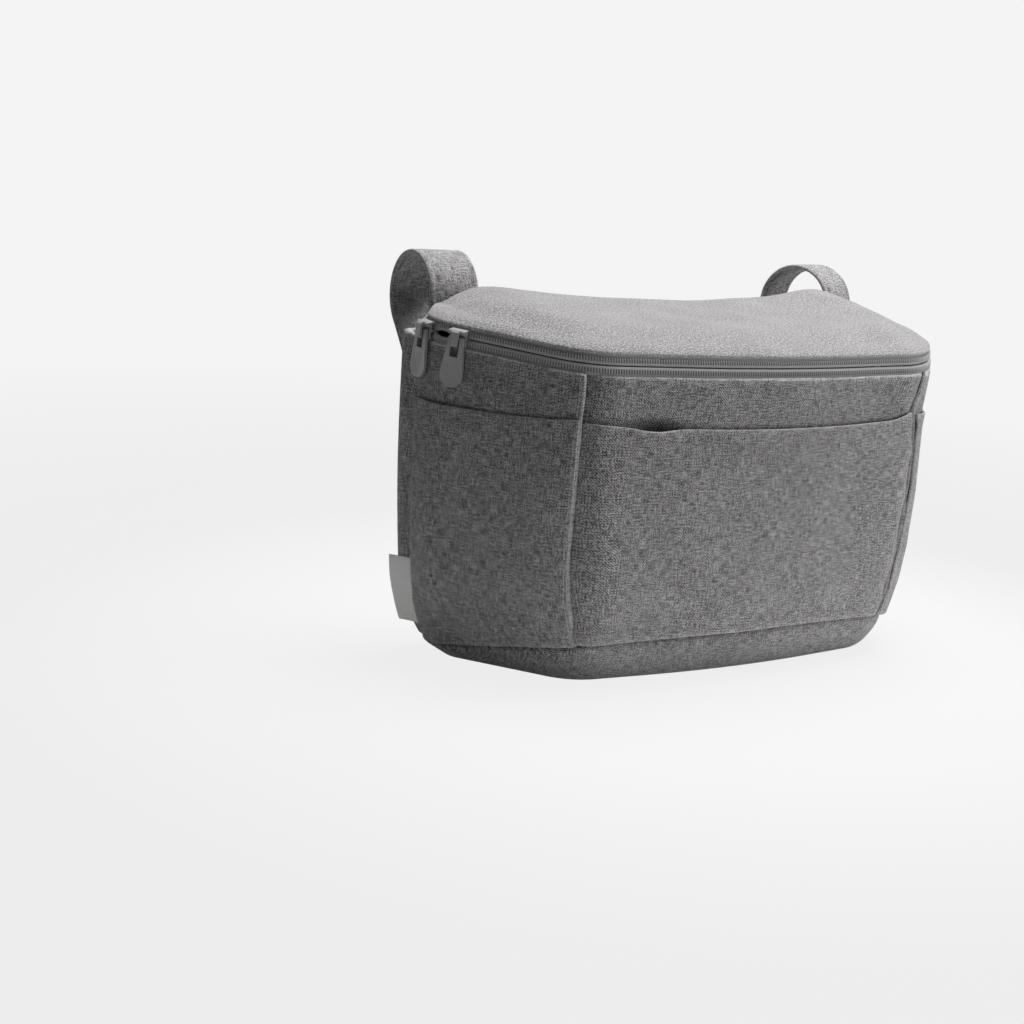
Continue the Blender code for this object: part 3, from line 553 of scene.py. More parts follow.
def make_sheet(name, points, uv, thickness, flip=False, finish=None):
    """Closed sheet of cloth from a grid of points in mm, with half round folded edges.

    The thickness is one number, or one for each point of the grid. A sheet without a finish
    of its own is canvas, with a dark grey inner face that is painted shade."""
    rows, columns = points.shape[:2]
    normals = grid_normals(points, flip)
    half = np.broadcast_to(np.asarray(thickness) / 2, (rows, columns))
    inner = points - 2 * normals * half[..., None]
    ring = border(rows, columns)
    verts = [points.reshape(-1, 3), inner.reshape(-1, 3)]
    maps = [uv.reshape(-1, 2), uv.reshape(-1, 2)]
    for step in range(1, FOLD_STEPS + 1):
        angle = math.pi * step / (FOLD_STEPS + 1)
        row = []
        for r, c in ring:
            middle = points[r, c] - normals[r, c] * half[r, c]
            reach = normals[r, c] * math.cos(angle) + edge_way(points, r, c) * math.sin(angle)
            row.append(middle + reach * half[r, c])
        verts.append(np.array(row))
        maps.append(np.array([uv[r, c] + edge_way(uv, r, c) * angle * half[r, c]
                              for r, c in ring]))
    verts = np.concatenate(verts) * MM
    maps = np.concatenate(maps) * MM
    size = rows * columns
    index = np.arange(size).reshape(rows, columns)
    faces = []
    for r in range(rows - 1):
        for c in range(columns - 1):
            quad = (index[r, c], index[r, c + 1], index[r + 1, c + 1], index[r + 1, c])
            faces.append(quad)
            faces.append(tuple(q + size for q in reversed(quad)))
    loops = [[index[r, c] for r, c in ring]]
    for step in range(FOLD_STEPS):
        start = 2 * size + step * len(ring)
        loops.append(list(range(start, start + len(ring))))
    loops.append([index[r, c] + size for r, c in ring])
    for first, second in zip(loops, loops[1:]):
        for i in range(len(ring)):
            j = (i + 1) % len(ring)
            faces.append((first[j], first[i], second[i], second[j]))
    if flip:
        faces = [tuple(reversed(f)) for f in faces]
    # Inner faces get the dark grey of painted shade.
    mesh = new_mesh(name, verts.tolist(), [tuple(int(i) for i in f) for f in faces],
                    *([finish] if finish else [canvas, shaded_lining]))
    layer = mesh.uv_layers.new(name="cloth")
    corner_verts = np.empty(len(mesh.loops), int)
    mesh.loops.foreach_get("vertex_index", corner_verts)
    layer.data.foreach_set("uv", maps[corner_verts].ravel())
    # Weight of the cloth's painted highlight: 1 on the folds, 0.3 on the edge of each face.
    folded = np.zeros(len(verts))
    folded[2 * size:] = 1.0
    folded[[int(index[r, c]) for r, c in ring]] = 0.3
    mesh.attributes.new("fold_highlight", "FLOAT", "POINT").data.foreach_set("value", folded)
    if not finish:
        lined = np.zeros(len(faces), int)
        lined[1:2 * (rows - 1) * (columns - 1):2] = 1
        mesh.polygons.foreach_set("material_index", lined)
    mesh.update()
    return new_object(name, mesh)


def dress(obj, body, slot, *nodes):
    """A finished piece rides on its body and stands for its CAD nodes."""
    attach(obj, body)
    if nodes:
        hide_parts(*nodes)
    return obj


# %% [markdown]
# ## Thread
#
# A row of stitches could be painted on the cloth, but real ones stand up and catch the light.
# So each stitch is a short length of round thread that dips into the cloth at both ends. All
# the stitches of a seam are one piece. They are made as long as a sewing machine makes them.

# %% Stitches along a seam
STITCH_PITCH = 3.3
STITCH_LENGTH = 2.5
STITCH_START = 0.4
STITCH_RISE = 0.42
STITCH_SUNK = 0.1
THREAD = 0.6
STITCH_SHARES = (0.0, 0.14, 0.5, 0.86, 1.0)
STITCH_HEIGHTS = (0.0, 0.75, 1.0, 0.75, 0.0)
STITCH_WIDTHS = (0.45, 0.9, 1.0, 0.9, 0.45)
THREAD_SIDES = 6


def spun_thread(name):
    """Spun polyester sewing thread: matt, with the fine grain of its fibres."""
    made, tree, shader = principled(name, "#c3c1c2", 0.7, specular=0.3, sheen=0.2)
    grain = noise_node(tree, object_map(tree), 0.5 * MM)
    colour_by(tree, shader, grain, "#b3b1b2", "#d3d1d2")
    bump_by(tree, shader, grain, 0.4, 0.1 * MM)
    return made


thread = spun_thread("spun_polyester_thread")


def stitches(name, lines):
    """One piece with the stitches along lines of (points, directions out of the cloth) in mm."""
    verts = []
    faces = []
    for points, ups in lines:
        points = np.asarray(points, float)
        ups = np.asarray(ups, float)
        steps = np.linalg.norm(np.diff(points, axis=0), axis=1)
        travelled = np.concatenate([[0], np.cumsum(steps)])
        for start in np.arange(STITCH_START, travelled[-1] - STITCH_LENGTH, STITCH_PITCH):
            places = start + STITCH_LENGTH * np.array(STITCH_SHARES)
            spine = np.stack([np.interp(places, travelled, points[:, k]) for k in range(3)], 1)
            up = np.array([np.interp(places[2], travelled, ups[:, k]) for k in range(3)])
            way = spine[-1] - spine[0]
            way /= np.linalg.norm(way)
            up -= way * up.dot(way)
            up /= np.linalg.norm(up)
            side = np.cross(way, up)
            first = len(verts)
            for k, centre in enumerate(spine):
                centre = centre + up * THREAD * (STITCH_RISE * STITCH_HEIGHTS[k] - STITCH_SUNK)
                for turn in range(THREAD_SIDES):
                    angle = 2 * math.pi * turn / THREAD_SIDES
                    reach = (side * math.cos(angle) + up * math.sin(angle)) * STITCH_WIDTHS[k]
                    verts.append((centre + reach * THREAD / 2) * MM)
            last = first + (len(spine) - 1) * THREAD_SIDES
            faces.append([first + turn for turn in range(THREAD_SIDES)])
            faces.append([last + turn for turn in reversed(range(THREAD_SIDES))])
            for ring in range(first, last, THREAD_SIDES):
                for turn in range(THREAD_SIDES):
                    beside = (turn + 1) % THREAD_SIDES
                    faces.append((ring + beside, ring + turn, ring + THREAD_SIDES + turn,
                                  ring + THREAD_SIDES + beside))
    made = new_object(name, new_mesh(name, [tuple(v) for v in verts], faces, thread))
    return dress(made, "bag", "cloth")


# %% Soft unevenness of cloth
def soft_noise(a, b, size, seed):
    """Smooth random height from -1 to 1 with lumps of a size in mm."""
    numbers = np.random.RandomState(seed).uniform(-1, 1, (257, 257))
    x = np.asarray(a, float) / size + 128.37
    y = np.asarray(b, float) / size + 128.73
    i = np.floor(x).astype(int) % 256
    j = np.floor(y).astype(int) % 256
    s = x - np.floor(x)
    t = y - np.floor(y)
    s = s * s * (3 - 2 * s)
    t = t * t * (3 - 2 * t)
    low = numbers[i, j] * (1 - s) + numbers[i + 1, j] * s
    high = numbers[i, j + 1] * (1 - s) + numbers[i + 1, j + 1] * s
    return low * (1 - t) + high * t


def wrinkles(a, b, *layers):
    """Sum of soft noises, each with its height in mm, its size in mm and its seed."""
    return sum(height * soft_noise(a, b, size, seed) for height, size, seed in layers)


def ease(value):
    """Soft step for whole grids."""
    value = np.clip(value, 0, 1)
    return value * value * (3 - 2 * value)


def spread_runs(first, last, step):
    """Distances along the tape, evenly spaced between two ends."""
    count = max(2, round(abs(last - first) / step))
    return np.linspace(first, last, count + 1)
# %% [markdown]
# ## The front and its pocket
#
# The front is one padded panel with a wide patch pocket sewn over it. Only a band of the panel
# shows above the pocket's mouth. The pocket is cut a little fuller than the panel, so it lies
# off it in the middle and is drawn in beside the two side seams. Cloth simulation could find
# these folds, but the photo shows a nearly flat, well pressed pocket, so the shape is written
# down as an offset from the skin: fullness, the drawn-in seams, and a few soft puckers.

# %% Sizes of the pockets
MOUTH_FRONT = 139.0
MOUTH_FRONT_SAG = 3.5
MOUTH_SIDE = 140.0
MOUTH_SIDE_SAG = 2.0
CLOTH = 3.0
POCKET_CLOTH = 1.5
GRID_STEP = 2.6
SEAM_DRAWS = {-1: 3.2, 1: 1.8}
SEAM_DRAW_WIDTH = 5.5
GAPE_AT = -77.0
GAPE_WIDTH = 13.0
GAPE_DIP = 1.6
GAPE_DEPTH = 5.5
MOUTH_RIGHT_RISE = 2.6


def front_mouth(distance):
    """Height of the front pocket's mouth."""
    share = abs(distance) / SEAM_RUN
    rise = MOUTH_RIGHT_RISE * smooth((distance - SEAM_RUN + 26) / 26)
    return MOUTH_FRONT - MOUTH_FRONT_SAG * (1 - share * share) + rise


def side_mouth(distance):
    """Height of a side pocket's mouth."""
    share = (abs(distance) - SEAM_RUN) / (STRIP_RUN - SEAM_RUN)
    return MOUTH_SIDE - MOUTH_SIDE_SAG * 4 * share * (1 - share)


def gape(distance):
    """How far the front pocket's mouth stands open, on the bag's left."""
    return math.exp(-((distance - GAPE_AT) / GAPE_WIDTH) ** 2)


def seam_draw(d):
    """How far the stitches of the front seams draw the front in."""
    edge = SEAM_RUN - abs(d)
    return SEAM_DRAWS[1 if d > 0 else -1] * math.exp(-(edge / SEAM_DRAW_WIDTH) ** 2)


def panel_grid(runs, low, high, out):
    """Grid of skin points and their cloth map between two heights at each distance."""
    stations = [station_at(d) for d in runs]
    count = max(4, round(max(high(d) - low(s) for d, s in zip(runs, stations)) / GRID_STEP))
    columns = []
    for d, s in zip(runs, stations):
        bottom, top = low(s), high(d)
        heights = [mix(bottom, top, r / count) for r in range(count + 1)]
        columns.append([(wall(station_at(d + seam_shift(d, z)), z,
                              out(d, z, (z - bottom) / (top - bottom))), (d, z))
                        for z in heights])
    return as_grids(columns)


def lift(points, amount, flip=False):
    """Move a grid along its own normals."""
    return points + grid_normals(points, flip) * amount[..., None]


def foot(station):
    """Lowest edge of a wall panel, just above the bottom seam."""
    return seam_z(station) + 1.6


def rim(distance):
    """Top edge of a wall panel, just under the zip."""
    return rim_z(station_at(distance)) - 0.8


def dress_panel(obj, node):
    """A padded panel of the bag stands for its CAD node."""
    dress(obj, "bag", "cloth", node)
    print("%s: %d points" % (obj.name, len(obj.data.vertices)))


# %% Front panel
def front_panel_out(d, z, share):
    """Offset of the front panel: drawn in at its seams, sunk behind the pocket."""
    below = front_mouth(d) - z
    sunk = 3.5 * smooth((SEAM_RUN - abs(d)) / 14) * smooth((below + 3) / 9)
    return -seam_draw(d) - sunk - GAPE_DEPTH * gape(d) * smooth((below + 7) / 7)


front_runs = spread_runs(-SEAM_RUN + 1.4, SEAM_RUN - 1.4, GRID_STEP)
points, uv = panel_grid(front_runs, foot, rim, front_panel_out)
wrinkle = wrinkles(uv[..., 0], uv[..., 1], (0.35, 26, 3))
wrinkle += wrinkles(uv[..., 0], uv[..., 1] * 1.5, (0.18, 11, 4))
points = lift(points, wrinkle)
front_panel = make_sheet("front_panel_cloth", points, uv, CLOTH)
dress_panel(front_panel, "front_panel")


# %% Front pocket
def front_pocket_out(d, z, share):
    """Offset of the pocket's outer face from the bag's skin."""
    full = ease((SEAM_RUN - abs(d)) / 16) * ease(share * 3.2)
    body = 3.0 * full * ease((1 - share) * 2.2)
    mouth = 1.9 + 2.4 * gape(d) * smooth((share - 0.86) / 0.14)
    return mouth - seam_draw(d) + body


def front_pocket_top(d):
    """Pocket's top edge, which dips where the mouth stands open."""
    return front_mouth(d) - GAPE_DIP * gape(d) - 0.4


points, uv = panel_grid(front_runs, foot, front_pocket_top, front_pocket_out)
across, height = uv[..., 0], uv[..., 1]
edge = SEAM_RUN - np.abs(across)
wrinkle = wrinkles(across, height, (0.45, 34, 7), (0.2, 13, 8))
low_puckers = np.exp(-((height - 34) / 14) ** 2) * soft_noise(across / 3, height, 8, 9)
side_puckers = np.exp(-(edge / 16) ** 2) * soft_noise(across / 2.2, height, 9, 10)
wrinkle += 0.75 * low_puckers + 0.6 * side_puckers
wrinkle *= ease((front_mouth(0) + 4 - height) / 8) * 0.8 + 0.2
points = lift(points, wrinkle)
front_pocket = make_sheet("front_pocket_cloth", points, uv, POCKET_CLOTH)
dress(front_pocket, "bag", "cloth", "front_pocket")
print("front pocket:", points.shape[:2], "points")

# %% [markdown]
# ## The sides and their pockets
#
# Each slanted side has the same build as the front: a padded panel with a patch pocket over it.
# The side's front edge is turned over the seam, so it stands a little proud and catches the
# light. Both sides come from one loop, which runs once with -1 and once with 1.

# %% Side panels and pockets
EDGE_PROUD = 1.3
BACK_EDGE_SUNK = 0.6
SIDE_RECESS = 4.5
SIDE_CLOTH = 3.0
STITCH_COLUMN = 0.4
SEAM_FORWARD = 1.8
SIDE_SEEDS = {-1: 20, 1: 30}


def side_edge(d):
    """Distance from the nearer upright edge of a side."""
    return min(abs(d) - SEAM_RUN, STRIP_RUN - abs(d))


def turned_edge(d, z):
    """Proud turned edge beside the front seam, and the sunk seam beside the back strip."""
    front = (abs(d) - SEAM_RUN) / 2.4
    back = (STRIP_RUN - abs(d)) / 2.4
    proud = mix(-0.8, EDGE_PROUD, smooth((z - 24) / 16))
    return proud * math.exp(-front * front) - BACK_EDGE_SUNK * math.exp(-back * back)


def side_panel_out(d, z, share):
    """Offset of a side panel, sunk behind its pocket."""
    below = side_mouth(d) - z
    sunk = SIDE_RECESS * smooth(side_edge(d) / 14) * smooth((below + 2) / 10)
    return turned_edge(d, z) - sunk


def side_pocket_out(d, z, share):
    """Offset of a side pocket's outer face."""
    full = ease(side_edge(d) / 16) * ease(share * 3.2) * ease((1 - share) * 2.4)
    return 1.7 + turned_edge(d, z) + 0.9 * full


def seam_line(points, column, low, high, flip):
    """Line of a grid just inside its first upright edge, between two heights."""
    line = points[:, 0] * (1 - column) + points[:, 1] * column
    keep = (line[:, 2] > low) & (line[:, 2] < high)
    return line[keep], grid_normals(points, flip)[:, 0][keep]


for side, word in SIDES:
    seed = SIDE_SEEDS[side]
    side_runs = spread_runs(side * (SEAM_RUN + 0.4), side * (STRIP_RUN - SEAM_FORWARD - 1.5),
                            GRID_STEP)
    points, uv = panel_grid(side_runs, foot, rim, side_panel_out)
    across, height = uv[..., 0], uv[..., 1]
    wrinkle = wrinkles(across, height, (0.4, 22, seed), (0.2, 9, seed + 1))
    points = lift(points, wrinkle, side < 0)
    panel = make_sheet("side_panel_cloth_" + word, points, uv, SIDE_CLOTH, flip=side < 0)
    dress_panel(panel, "side_panel_" + word)
    sewn = [seam_line(points, STITCH_COLUMN, MOUTH_SIDE + 1, RIM_Z + 1, side < 0)]
    points, uv = panel_grid(side_runs, foot, side_mouth, side_pocket_out)
    across, height = uv[..., 0], uv[..., 1]
    wrinkle = wrinkles(across, height, (0.6, 30, seed + 2), (0.25, 12, seed + 3))
    low = np.exp(-((height - 26) / 12) ** 2)
    wrinkle += 0.8 * low * soft_noise(across / 2, height, 9, seed + 4)
    wrinkle *= ease((MOUTH_SIDE - height) / 10) * 0.8 + 0.2
    points = lift(points, wrinkle, side < 0)
    pocket = make_sheet("side_pocket_cloth_" + word, points, uv, POCKET_CLOTH, flip=side < 0)
    dress(pocket, "bag", "cloth", "side_pocket_" + word)
    sewn.append(seam_line(points, STITCH_COLUMN, SEAM_FRONT_Z + 4, MOUTH_SIDE - 1, side < 0))
    row = stitches("side_seam_stitches_" + word, sewn)
    print(word, "side:", points.shape[:2], "points in its pocket")
# %% [markdown]
# ## The back and the bottom
#
# The back panel wraps round both rear corners as a narrow strip, and the bottom is a shallow
# tray with a rounded edge. Neither is much seen, but both close the bag, so both are cut from
# the same cloth, and the back panel has the same folded edges.

# %% Sizes of the back panel and the lid
BACK_SEAT = 0.9
BACK_ROWS = 60
STRIP_GROOVE = 1.3
STRIP_GROOVE_WIDTH = 2.8
STRIP_PADDING = 2.8
LID_EDGE = -2.4
LID_CORNER_EDGES = {-1: -6.0, 1: -4.2}
LID_EDGE_REACH = 7.0
LID_EDGE_CLOTH = 2.0
LID_FRONT_RISE = 5.0
LID_BACK_RISE = 12.8
LID_BACK_SAG = 8.5
LID_SHOULDER = 34.0
LID_CORNER_REACH = 42.0
LID_CLOTH = 3.0
LID_END = 6.5
RIGHT_CORNER_LIFT = 6.5
LID_STEP = 1.5
LID_HALF = place(BACK_START, LID_Z, 0.0, True)[0].x
LID_RUN = run(LID_END, True)


# %% The lid's surface
def lid_height(x, y, away):
    """Height of the lid's top, away from its zip edge."""
    backness = smooth((y - FRONT_Y) / (BACK_Y - FRONT_Y))
    inside = min(max((LID_HALF + 2 - abs(x)) / LID_CORNER_REACH, 0), 1)
    full = smooth(away / LID_SHOULDER) * mix(1, 1 - (1 - inside) ** 2, backness)
    middle = 1 - min(abs(x) / LID_HALF, 1.0) ** 2
    rise = mix(LID_FRONT_RISE, LID_BACK_RISE, backness) - LID_BACK_SAG * backness * middle
    cloth = mix(LID_EDGE_CLOTH, LID_CLOTH, smooth(away / LID_EDGE_REACH))
    return rim_height(y) + ZIP_BAND + 0.15 + cloth + rise * full


def lid_lift(x, y, away):
    """What the load adds to the lid: its right rear corner is pulled up more than its left."""
    right = math.exp(-((x - 138) / 30) ** 2 - ((y - 52) / 34) ** 2)
    return RIGHT_CORNER_LIFT * right * smooth(away / 20)


def lid_edge(distance):
    """How far the lid's edge stands out of the wall's skin: drawn in more at its rear corners."""
    share = smooth((abs(distance) - run(5, True) - 4) / 18)
    return mix(LID_EDGE, LID_CORNER_EDGES[1 if distance > 0 else -1], share)


def lid_ends(distance):
    """Plan ends of the lid's row: on the zip edge and on the back edge."""
    point, way = place(station_at(distance, True), LID_Z, 0.0, True)
    edge = point + way * (lid_edge(distance) + right_flare(point, LID_Z))
    return edge, Vector((LID_HALF * distance / LID_RUN, BACK_Y))


def lid_back_height(x):
    """Height of the lid's back edge at a place across the bag."""
    edge, back = lid_ends(LID_RUN * x / LID_HALF)
    away = (back - edge).length
    return lid_height(x, BACK_Y, away) + lid_lift(x, BACK_Y, away)


# %% Back panel
def back_top(d):
    """Top edge of the back panel."""
    x = place(station_at(d), RIM_Z)[0].x
    if abs(x) > LID_HALF - LID_STEP:
        return rim(d)
    return lid_back_height(x) - LID_CLOTH - BACK_SEAT


def back_runs():
    """Distances across the back, with a close pair at each step beside a zip end tab."""
    start = STRIP_RUN - SEAM_FORWARD + 1.5
    step_run = ROUND_RUN - (LID_HALF - LID_STEP)
    before = list(spread_runs(start, step_run - 0.3, 3.0)) + [step_run + 0.3]
    return before + list(spread_runs(step_run + 3, ROUND_RUN, 3.0))


def back_grid():
    """Grid of the back panel, from the right strip round to the left one."""
    half = back_runs()
    columns = []
    for side, d in [(1, d) for d in half] + [(-1, d) for d in reversed(half[:-1])]:
        station = side * station_at(d)
        bottom, top = foot(station), back_top(side * d)
        groove = -STRIP_GROOVE * math.exp(-((d - STRIP_RUN) / STRIP_GROOVE_WIDTH) ** 2)
        along = d if side > 0 else 2 * ROUND_RUN - d
        heights = [mix(bottom, top, r / BACK_ROWS) for r in range(BACK_ROWS + 1)]
        columns.append([(wall(station, z, groove), (along, z)) for z in heights])
    return as_grids(columns)


points, uv = back_grid()
wrinkle = 0.35 * soft_noise(uv[..., 0], uv[..., 1], 30, 41)
points = points - np.abs(lift(points, wrinkle) - points) * np.array([0, 1, 0])
past_seam = np.minimum(uv[..., 0], 2 * ROUND_RUN - uv[..., 0]) - STRIP_RUN
padding = CLOTH + STRIP_PADDING * np.exp(-((past_seam - 10) / 6) ** 2)
back_panel = make_sheet("back_panel_cloth", points, uv, padding)
dress_panel(back_panel, "back_panel")


# %% Bottom tray
TRAY_SEAM = 1.3


def tray_point(station, share, lift_in):
    """Point on the rounded edge of the tray: share 0 at the seam, 1 at the floor."""
    first = math.asin((ROUND_HEIGHT - seam_z(station) + 0.15) / ROUND_HEIGHT)
    angle = mix(first, math.pi / 2, share)
    inset = ROUND_INSET * (1 - math.cos(angle))
    z = ROUND_HEIGHT * (1 - math.sin(angle))
    point, way = place(station, z, inset)
    bulge = SIDE_BULGE * way.x ** 2 * math.sin(math.pi * z / RIM_Z)
    point = point + way * (bulge + corner_bulge(station, z) + lift_in)
    return (point.x, point.y, z)


def make_tray(name):
    """Bottom panel: rings down the rounded edge, then rings across the flat middle."""
    half = [station_at(d) for d in spread_runs(0, ROUND_RUN, 2.0)]
    ring = half + [-s for s in reversed(half[1:-1])]
    count = len(ring)
    steps = 10
    rings = []
    for step in range(steps + 1):
        share = step / steps
        seam_in = -TRAY_SEAM * math.exp(-(share / 0.09) ** 2)
        rings.append([tray_point(s, share, seam_in) for s in ring])
    for share in (0.15, 0.35, 0.6, 0.85):
        flat = [Vector(p).lerp(Vector((p[0] * 0.1, 2, 0)), share) for p in rings[steps]]
        rings.append([(p.x, p.y, 0) for p in flat])
    outer = np.array(rings)
    inner = outer.copy()
    low = np.array([0, 0, 1.0]) * CLOTH
    centre = np.array([0, 5.0, 0])
    for k in range(outer.shape[0]):
        share = min(k / steps, 1)
        inward = centre - outer[k]
        inward[:, 2] = 0
        inward /= np.linalg.norm(inward, axis=1, keepdims=True)
        inner[k] += inward * CLOTH * (1 - share) ** 0.5 + low * share
    verts = np.concatenate([outer.reshape(-1, 3), inner.reshape(-1, 3)]) * MM
    size = outer.shape[0] * count
    faces = []
    for k in range(outer.shape[0] - 1):
        for i in range(count):
            j = (i + 1) % count
            quad = (k * count + i, (k + 1) * count + i, (k + 1) * count + j, k * count + j)
            faces.append(tuple(reversed(quad)))
            faces.append(tuple(q + size for q in quad))
    last = (outer.shape[0] - 1) * count
    faces.append(tuple(last + i for i in range(count)))
    faces.append(tuple(size + last + i for i in reversed(range(count))))
    for i in range(count):
        j = (i + 1) % count
        faces.append((i, size + i, size + j, j))
    mesh = new_mesh(name, verts.tolist(), faces, canvas)
    build = bmesh.new()
    build.from_mesh(mesh)
    bmesh.ops.recalc_face_normals(build, faces=build.faces)
    layer = build.loops.layers.uv.new("cloth")
    for face in build.faces:
        for loop in face.loops:
            co = loop.vert.co
            loop[layer].uv = (co.x, co.y - co.z)
    build.to_mesh(mesh)
    build.free()
    return new_object(name, mesh)


dress_panel(make_tray("bottom_panel_cloth"), "bottom_panel")

# %% [markdown]
# ## The lid
#
# The lid is one padded panel between the zip and the back seam. The bar loops pull its rear
# corners up, so it sags a little in the middle of the back and swells over the corners. Its
# edge at the zip is a soft rolled fold that throws a thin dark line on the tape below.

# %% Lid
LID_ROWS = 46


def lid_grid():
    """Grid of the lid's top, from its zip edge to its back edge."""
    columns = []
    for d in spread_runs(-LID_RUN, LID_RUN, 2.8):
        edge, back = lid_ends(d)
        edge = edge.lerp(back, 0.004)
        length = (back - edge).length
        column = []
        for r in range(LID_ROWS + 1):
            share = (r / LID_ROWS) ** 1.25
            spot = edge.lerp(back, share)
            away = length * share
            round_off = 1.2 * math.exp(-away / 1.5)
            z = lid_height(spot.x, spot.y, away) + lid_lift(spot.x, spot.y, away) - round_off
            column.append(((spot.x, spot.y, z), (spot.x, spot.y)))
        columns.append(column)
    return as_grids(columns)


points, uv = lid_grid()
across, deep = uv[..., 0], uv[..., 1]
inside = ease(np.linspace(0, 1, points.shape[0])[:, None] * 8)
wrinkle = wrinkles(across, deep, (0.7, 38, 51), (0.35, 15, 52))
corner = np.exp(-(((np.abs(across) - 138) / 24) ** 2 + ((deep - 40) / 26) ** 2))
wrinkle += 0.7 * corner * soft_noise(across / 1.6, deep, 8, 53)
points[..., 2] += wrinkle * inside
lid = make_sheet("lid_cloth", points, uv, LID_EDGE_CLOTH)
lid.data.materials[0] = lid_canvas
dress_panel(lid, "lid")
# %% [markdown]
# ## The zip
#
# This is a coil zip: two woven tapes, each with a nylon coil sewn along its edge. From outside
# the coil shows as two rows of fine ribs with a thin dark groove between them. The ribs are
# 1.5 mm apart. Hundreds of separate teeth would be heavy, so each row is one strip of points
# whose height rises and falls along the zip. The band leans in from the wall's hem to the
# lid's edge, so both rows show from above. Between the two sliders the zip is open.

# %% Sizes of the zip
ZIP_END = run(station_at(run(5, True) + 10.5, True), True)
ZIP_GROOVE = 0.9
ZIP_OPEN = 3.6
COIL_PITCH = 1.5
COIL_WIDTH = 3.5
COIL_SMOOTH = 0.28
COIL_CLOTH = 0.25
TAPE_CLOTH = 0.6
BAND_FOOT = -1.5
BAND_HEAD_IN = 1.1
SLIDER_HALF = 4.5
FRONT_SLIDER_RUN = run(4, True) - 5.5
REAR_SLIDER_RUN = run(5, True) + 5.0


def zip_place(distance, out, up):
    """Point by the zip in mm: out from the wall, up from the zip's middle line."""
    point, way = place(station_at(distance, True), LID_Z, 0.0, True)
    height = rim_height(point.y) + ZIP_BAND / 2 + up
    spot = point + way * (out + right_flare(point, min(height, LID_Z)))
    return (spot.x, spot.y, height)


def band_out(distance, up):
    """How far the zip band stands out of the wall's skin at a height above its middle."""
    return mix(BAND_FOOT, lid_edge(distance) - BAND_HEAD_IN, up / ZIP_BAND + 0.5)


def groove_half(distance):
    """Half the gap between the two rows, wider between the two parked sliders."""
    first = FRONT_SLIDER_RUN + SLIDER_HALF
    last = REAR_SLIDER_RUN - SLIDER_HALF
    share = (-distance - first) / (last - first)
    if 0 < share < 1:
        return mix(ZIP_GROOVE, ZIP_OPEN, math.sin(math.pi * share)) / 2
    return ZIP_GROOVE / 2


# %% Zip tape, coil and their finishes
def woven_tape(name):
    """Smooth satin tape with fine ribs across it, woven from flat polyester."""
    made, tree, shader = principled(name, "#a5a4a5", 0.55, specular=0.35, sheen=0.1)
    where, along, _ = cloth_map(tree)
    rib = math_node(tree, "SINE", math_node(tree, "MULTIPLY", along, 2 * math.pi / (0.9 * MM)))
    colour_by(tree, shader, noise_node(tree, where, 0.7 * MM), "#989798", "#b3b2b3")
    bump_by(tree, shader, rib, 0.35, 0.15 * MM)
    return made


def moulded_nylon(name):
    """Satin nylon coil: faintly waxy, with painted shade between its ribs."""
    made, tree, shader = principled(name, "#8a898a", 0.42, specular=0.45)
    where, along, across = cloth_map(tree)
    turn = math_node(tree, "MULTIPLY", along, 2 * math.pi / (COIL_PITCH * MM))
    rib = math_node(tree, "COSINE", turn)
    beyond = add(tree, "MapRange", Value=across, _1=COIL_SMOOTH * COIL_WIDTH * MM,
                 _2=(COIL_SMOOTH + 0.1) * COIL_WIDTH * MM).outputs[0]
    # Painted shade: the coil is drawn darker between its ribs, beyond its smooth edge.
    valley_shade = add(tree, "MapRange", Value=rib, _1=0.6, _2=-0.4).outputs[0]
    shade = math_node(tree, "MULTIPLY", valley_shade, beyond)
    grain = math_node(tree, "MULTIPLY", noise_node(tree, where, 4 * MM), 0.3)
    colour_by(tree, shader, math_node(tree, "ADD", grain, shade), "#b3b2b3", "#6a696a")
    return made


tape_finish = woven_tape("woven_polyester_tape")
coil_finish = moulded_nylon("moulded_nylon_coil")


def make_tape(name, side):
    """One woven tape, from the groove to its sewn edge."""
    columns = []
    for d in spread_runs(-ZIP_END + 0.4, ZIP_END - 0.4, 2.5):
        ups = [side * up for up in (groove_half(d), groove_half(d) + 1.5, 3.8, 5.1)]
        columns.append([(zip_place(d, band_out(d, up), up), (d, up)) for up in ups])
    return make_sheet(name, *as_grids(columns), TAPE_CLOTH, side < 0, tape_finish)


COIL_SECTION = [(0.0, 0.0, 0), (0.02, 0.7, 0), (COIL_SMOOTH, 0.8, 0), (0.38, 1.0, 1),
                (0.85, 1.0, 1), (0.97, 0.5, 1), (1.0, 0.0, 0)]


def make_coil(name, side):
    """One row of the coil: a strip, smooth beside the groove, whose crests are the ribs."""
    columns = []
    for d in spread_runs(-ZIP_END + 0.8, ZIP_END - 0.8, COIL_PITCH / 4):
        rib = 0.5 + 0.5 * math.cos(2 * math.pi * d / COIL_PITCH)
        column = []
        for wide, high, ribbed in COIL_SECTION:
            crest = 0.3 + 0.75 * rib if ribbed else 0.7
            up = side * (groove_half(d) + wide * COIL_WIDTH)
            spot = zip_place(d, band_out(d, up) + 0.1 + high * crest, up)
            column.append((spot, (d, wide * COIL_WIDTH)))
        columns.append(column)
    return make_sheet(name, *as_grids(columns), COIL_CLOTH, side < 0, coil_finish)


for side, word in ((1, "upper"), (-1, "lower")):
    tape = make_tape("zip_tape_cloth_" + word, side)
    dress(tape, "bag", "tape", "zip_tape_" + word)
    coil = make_coil("zip_coil_" + word, side)
    dress(coil, "bag", "teeth", "zip_teeth_" + word)
    print(word, "zip:", len(coil.data.vertices), "points in its coil")

# %% Zip end tabs
TAB_CLOTH = 2.0
TAB_SPREAD = 1.8


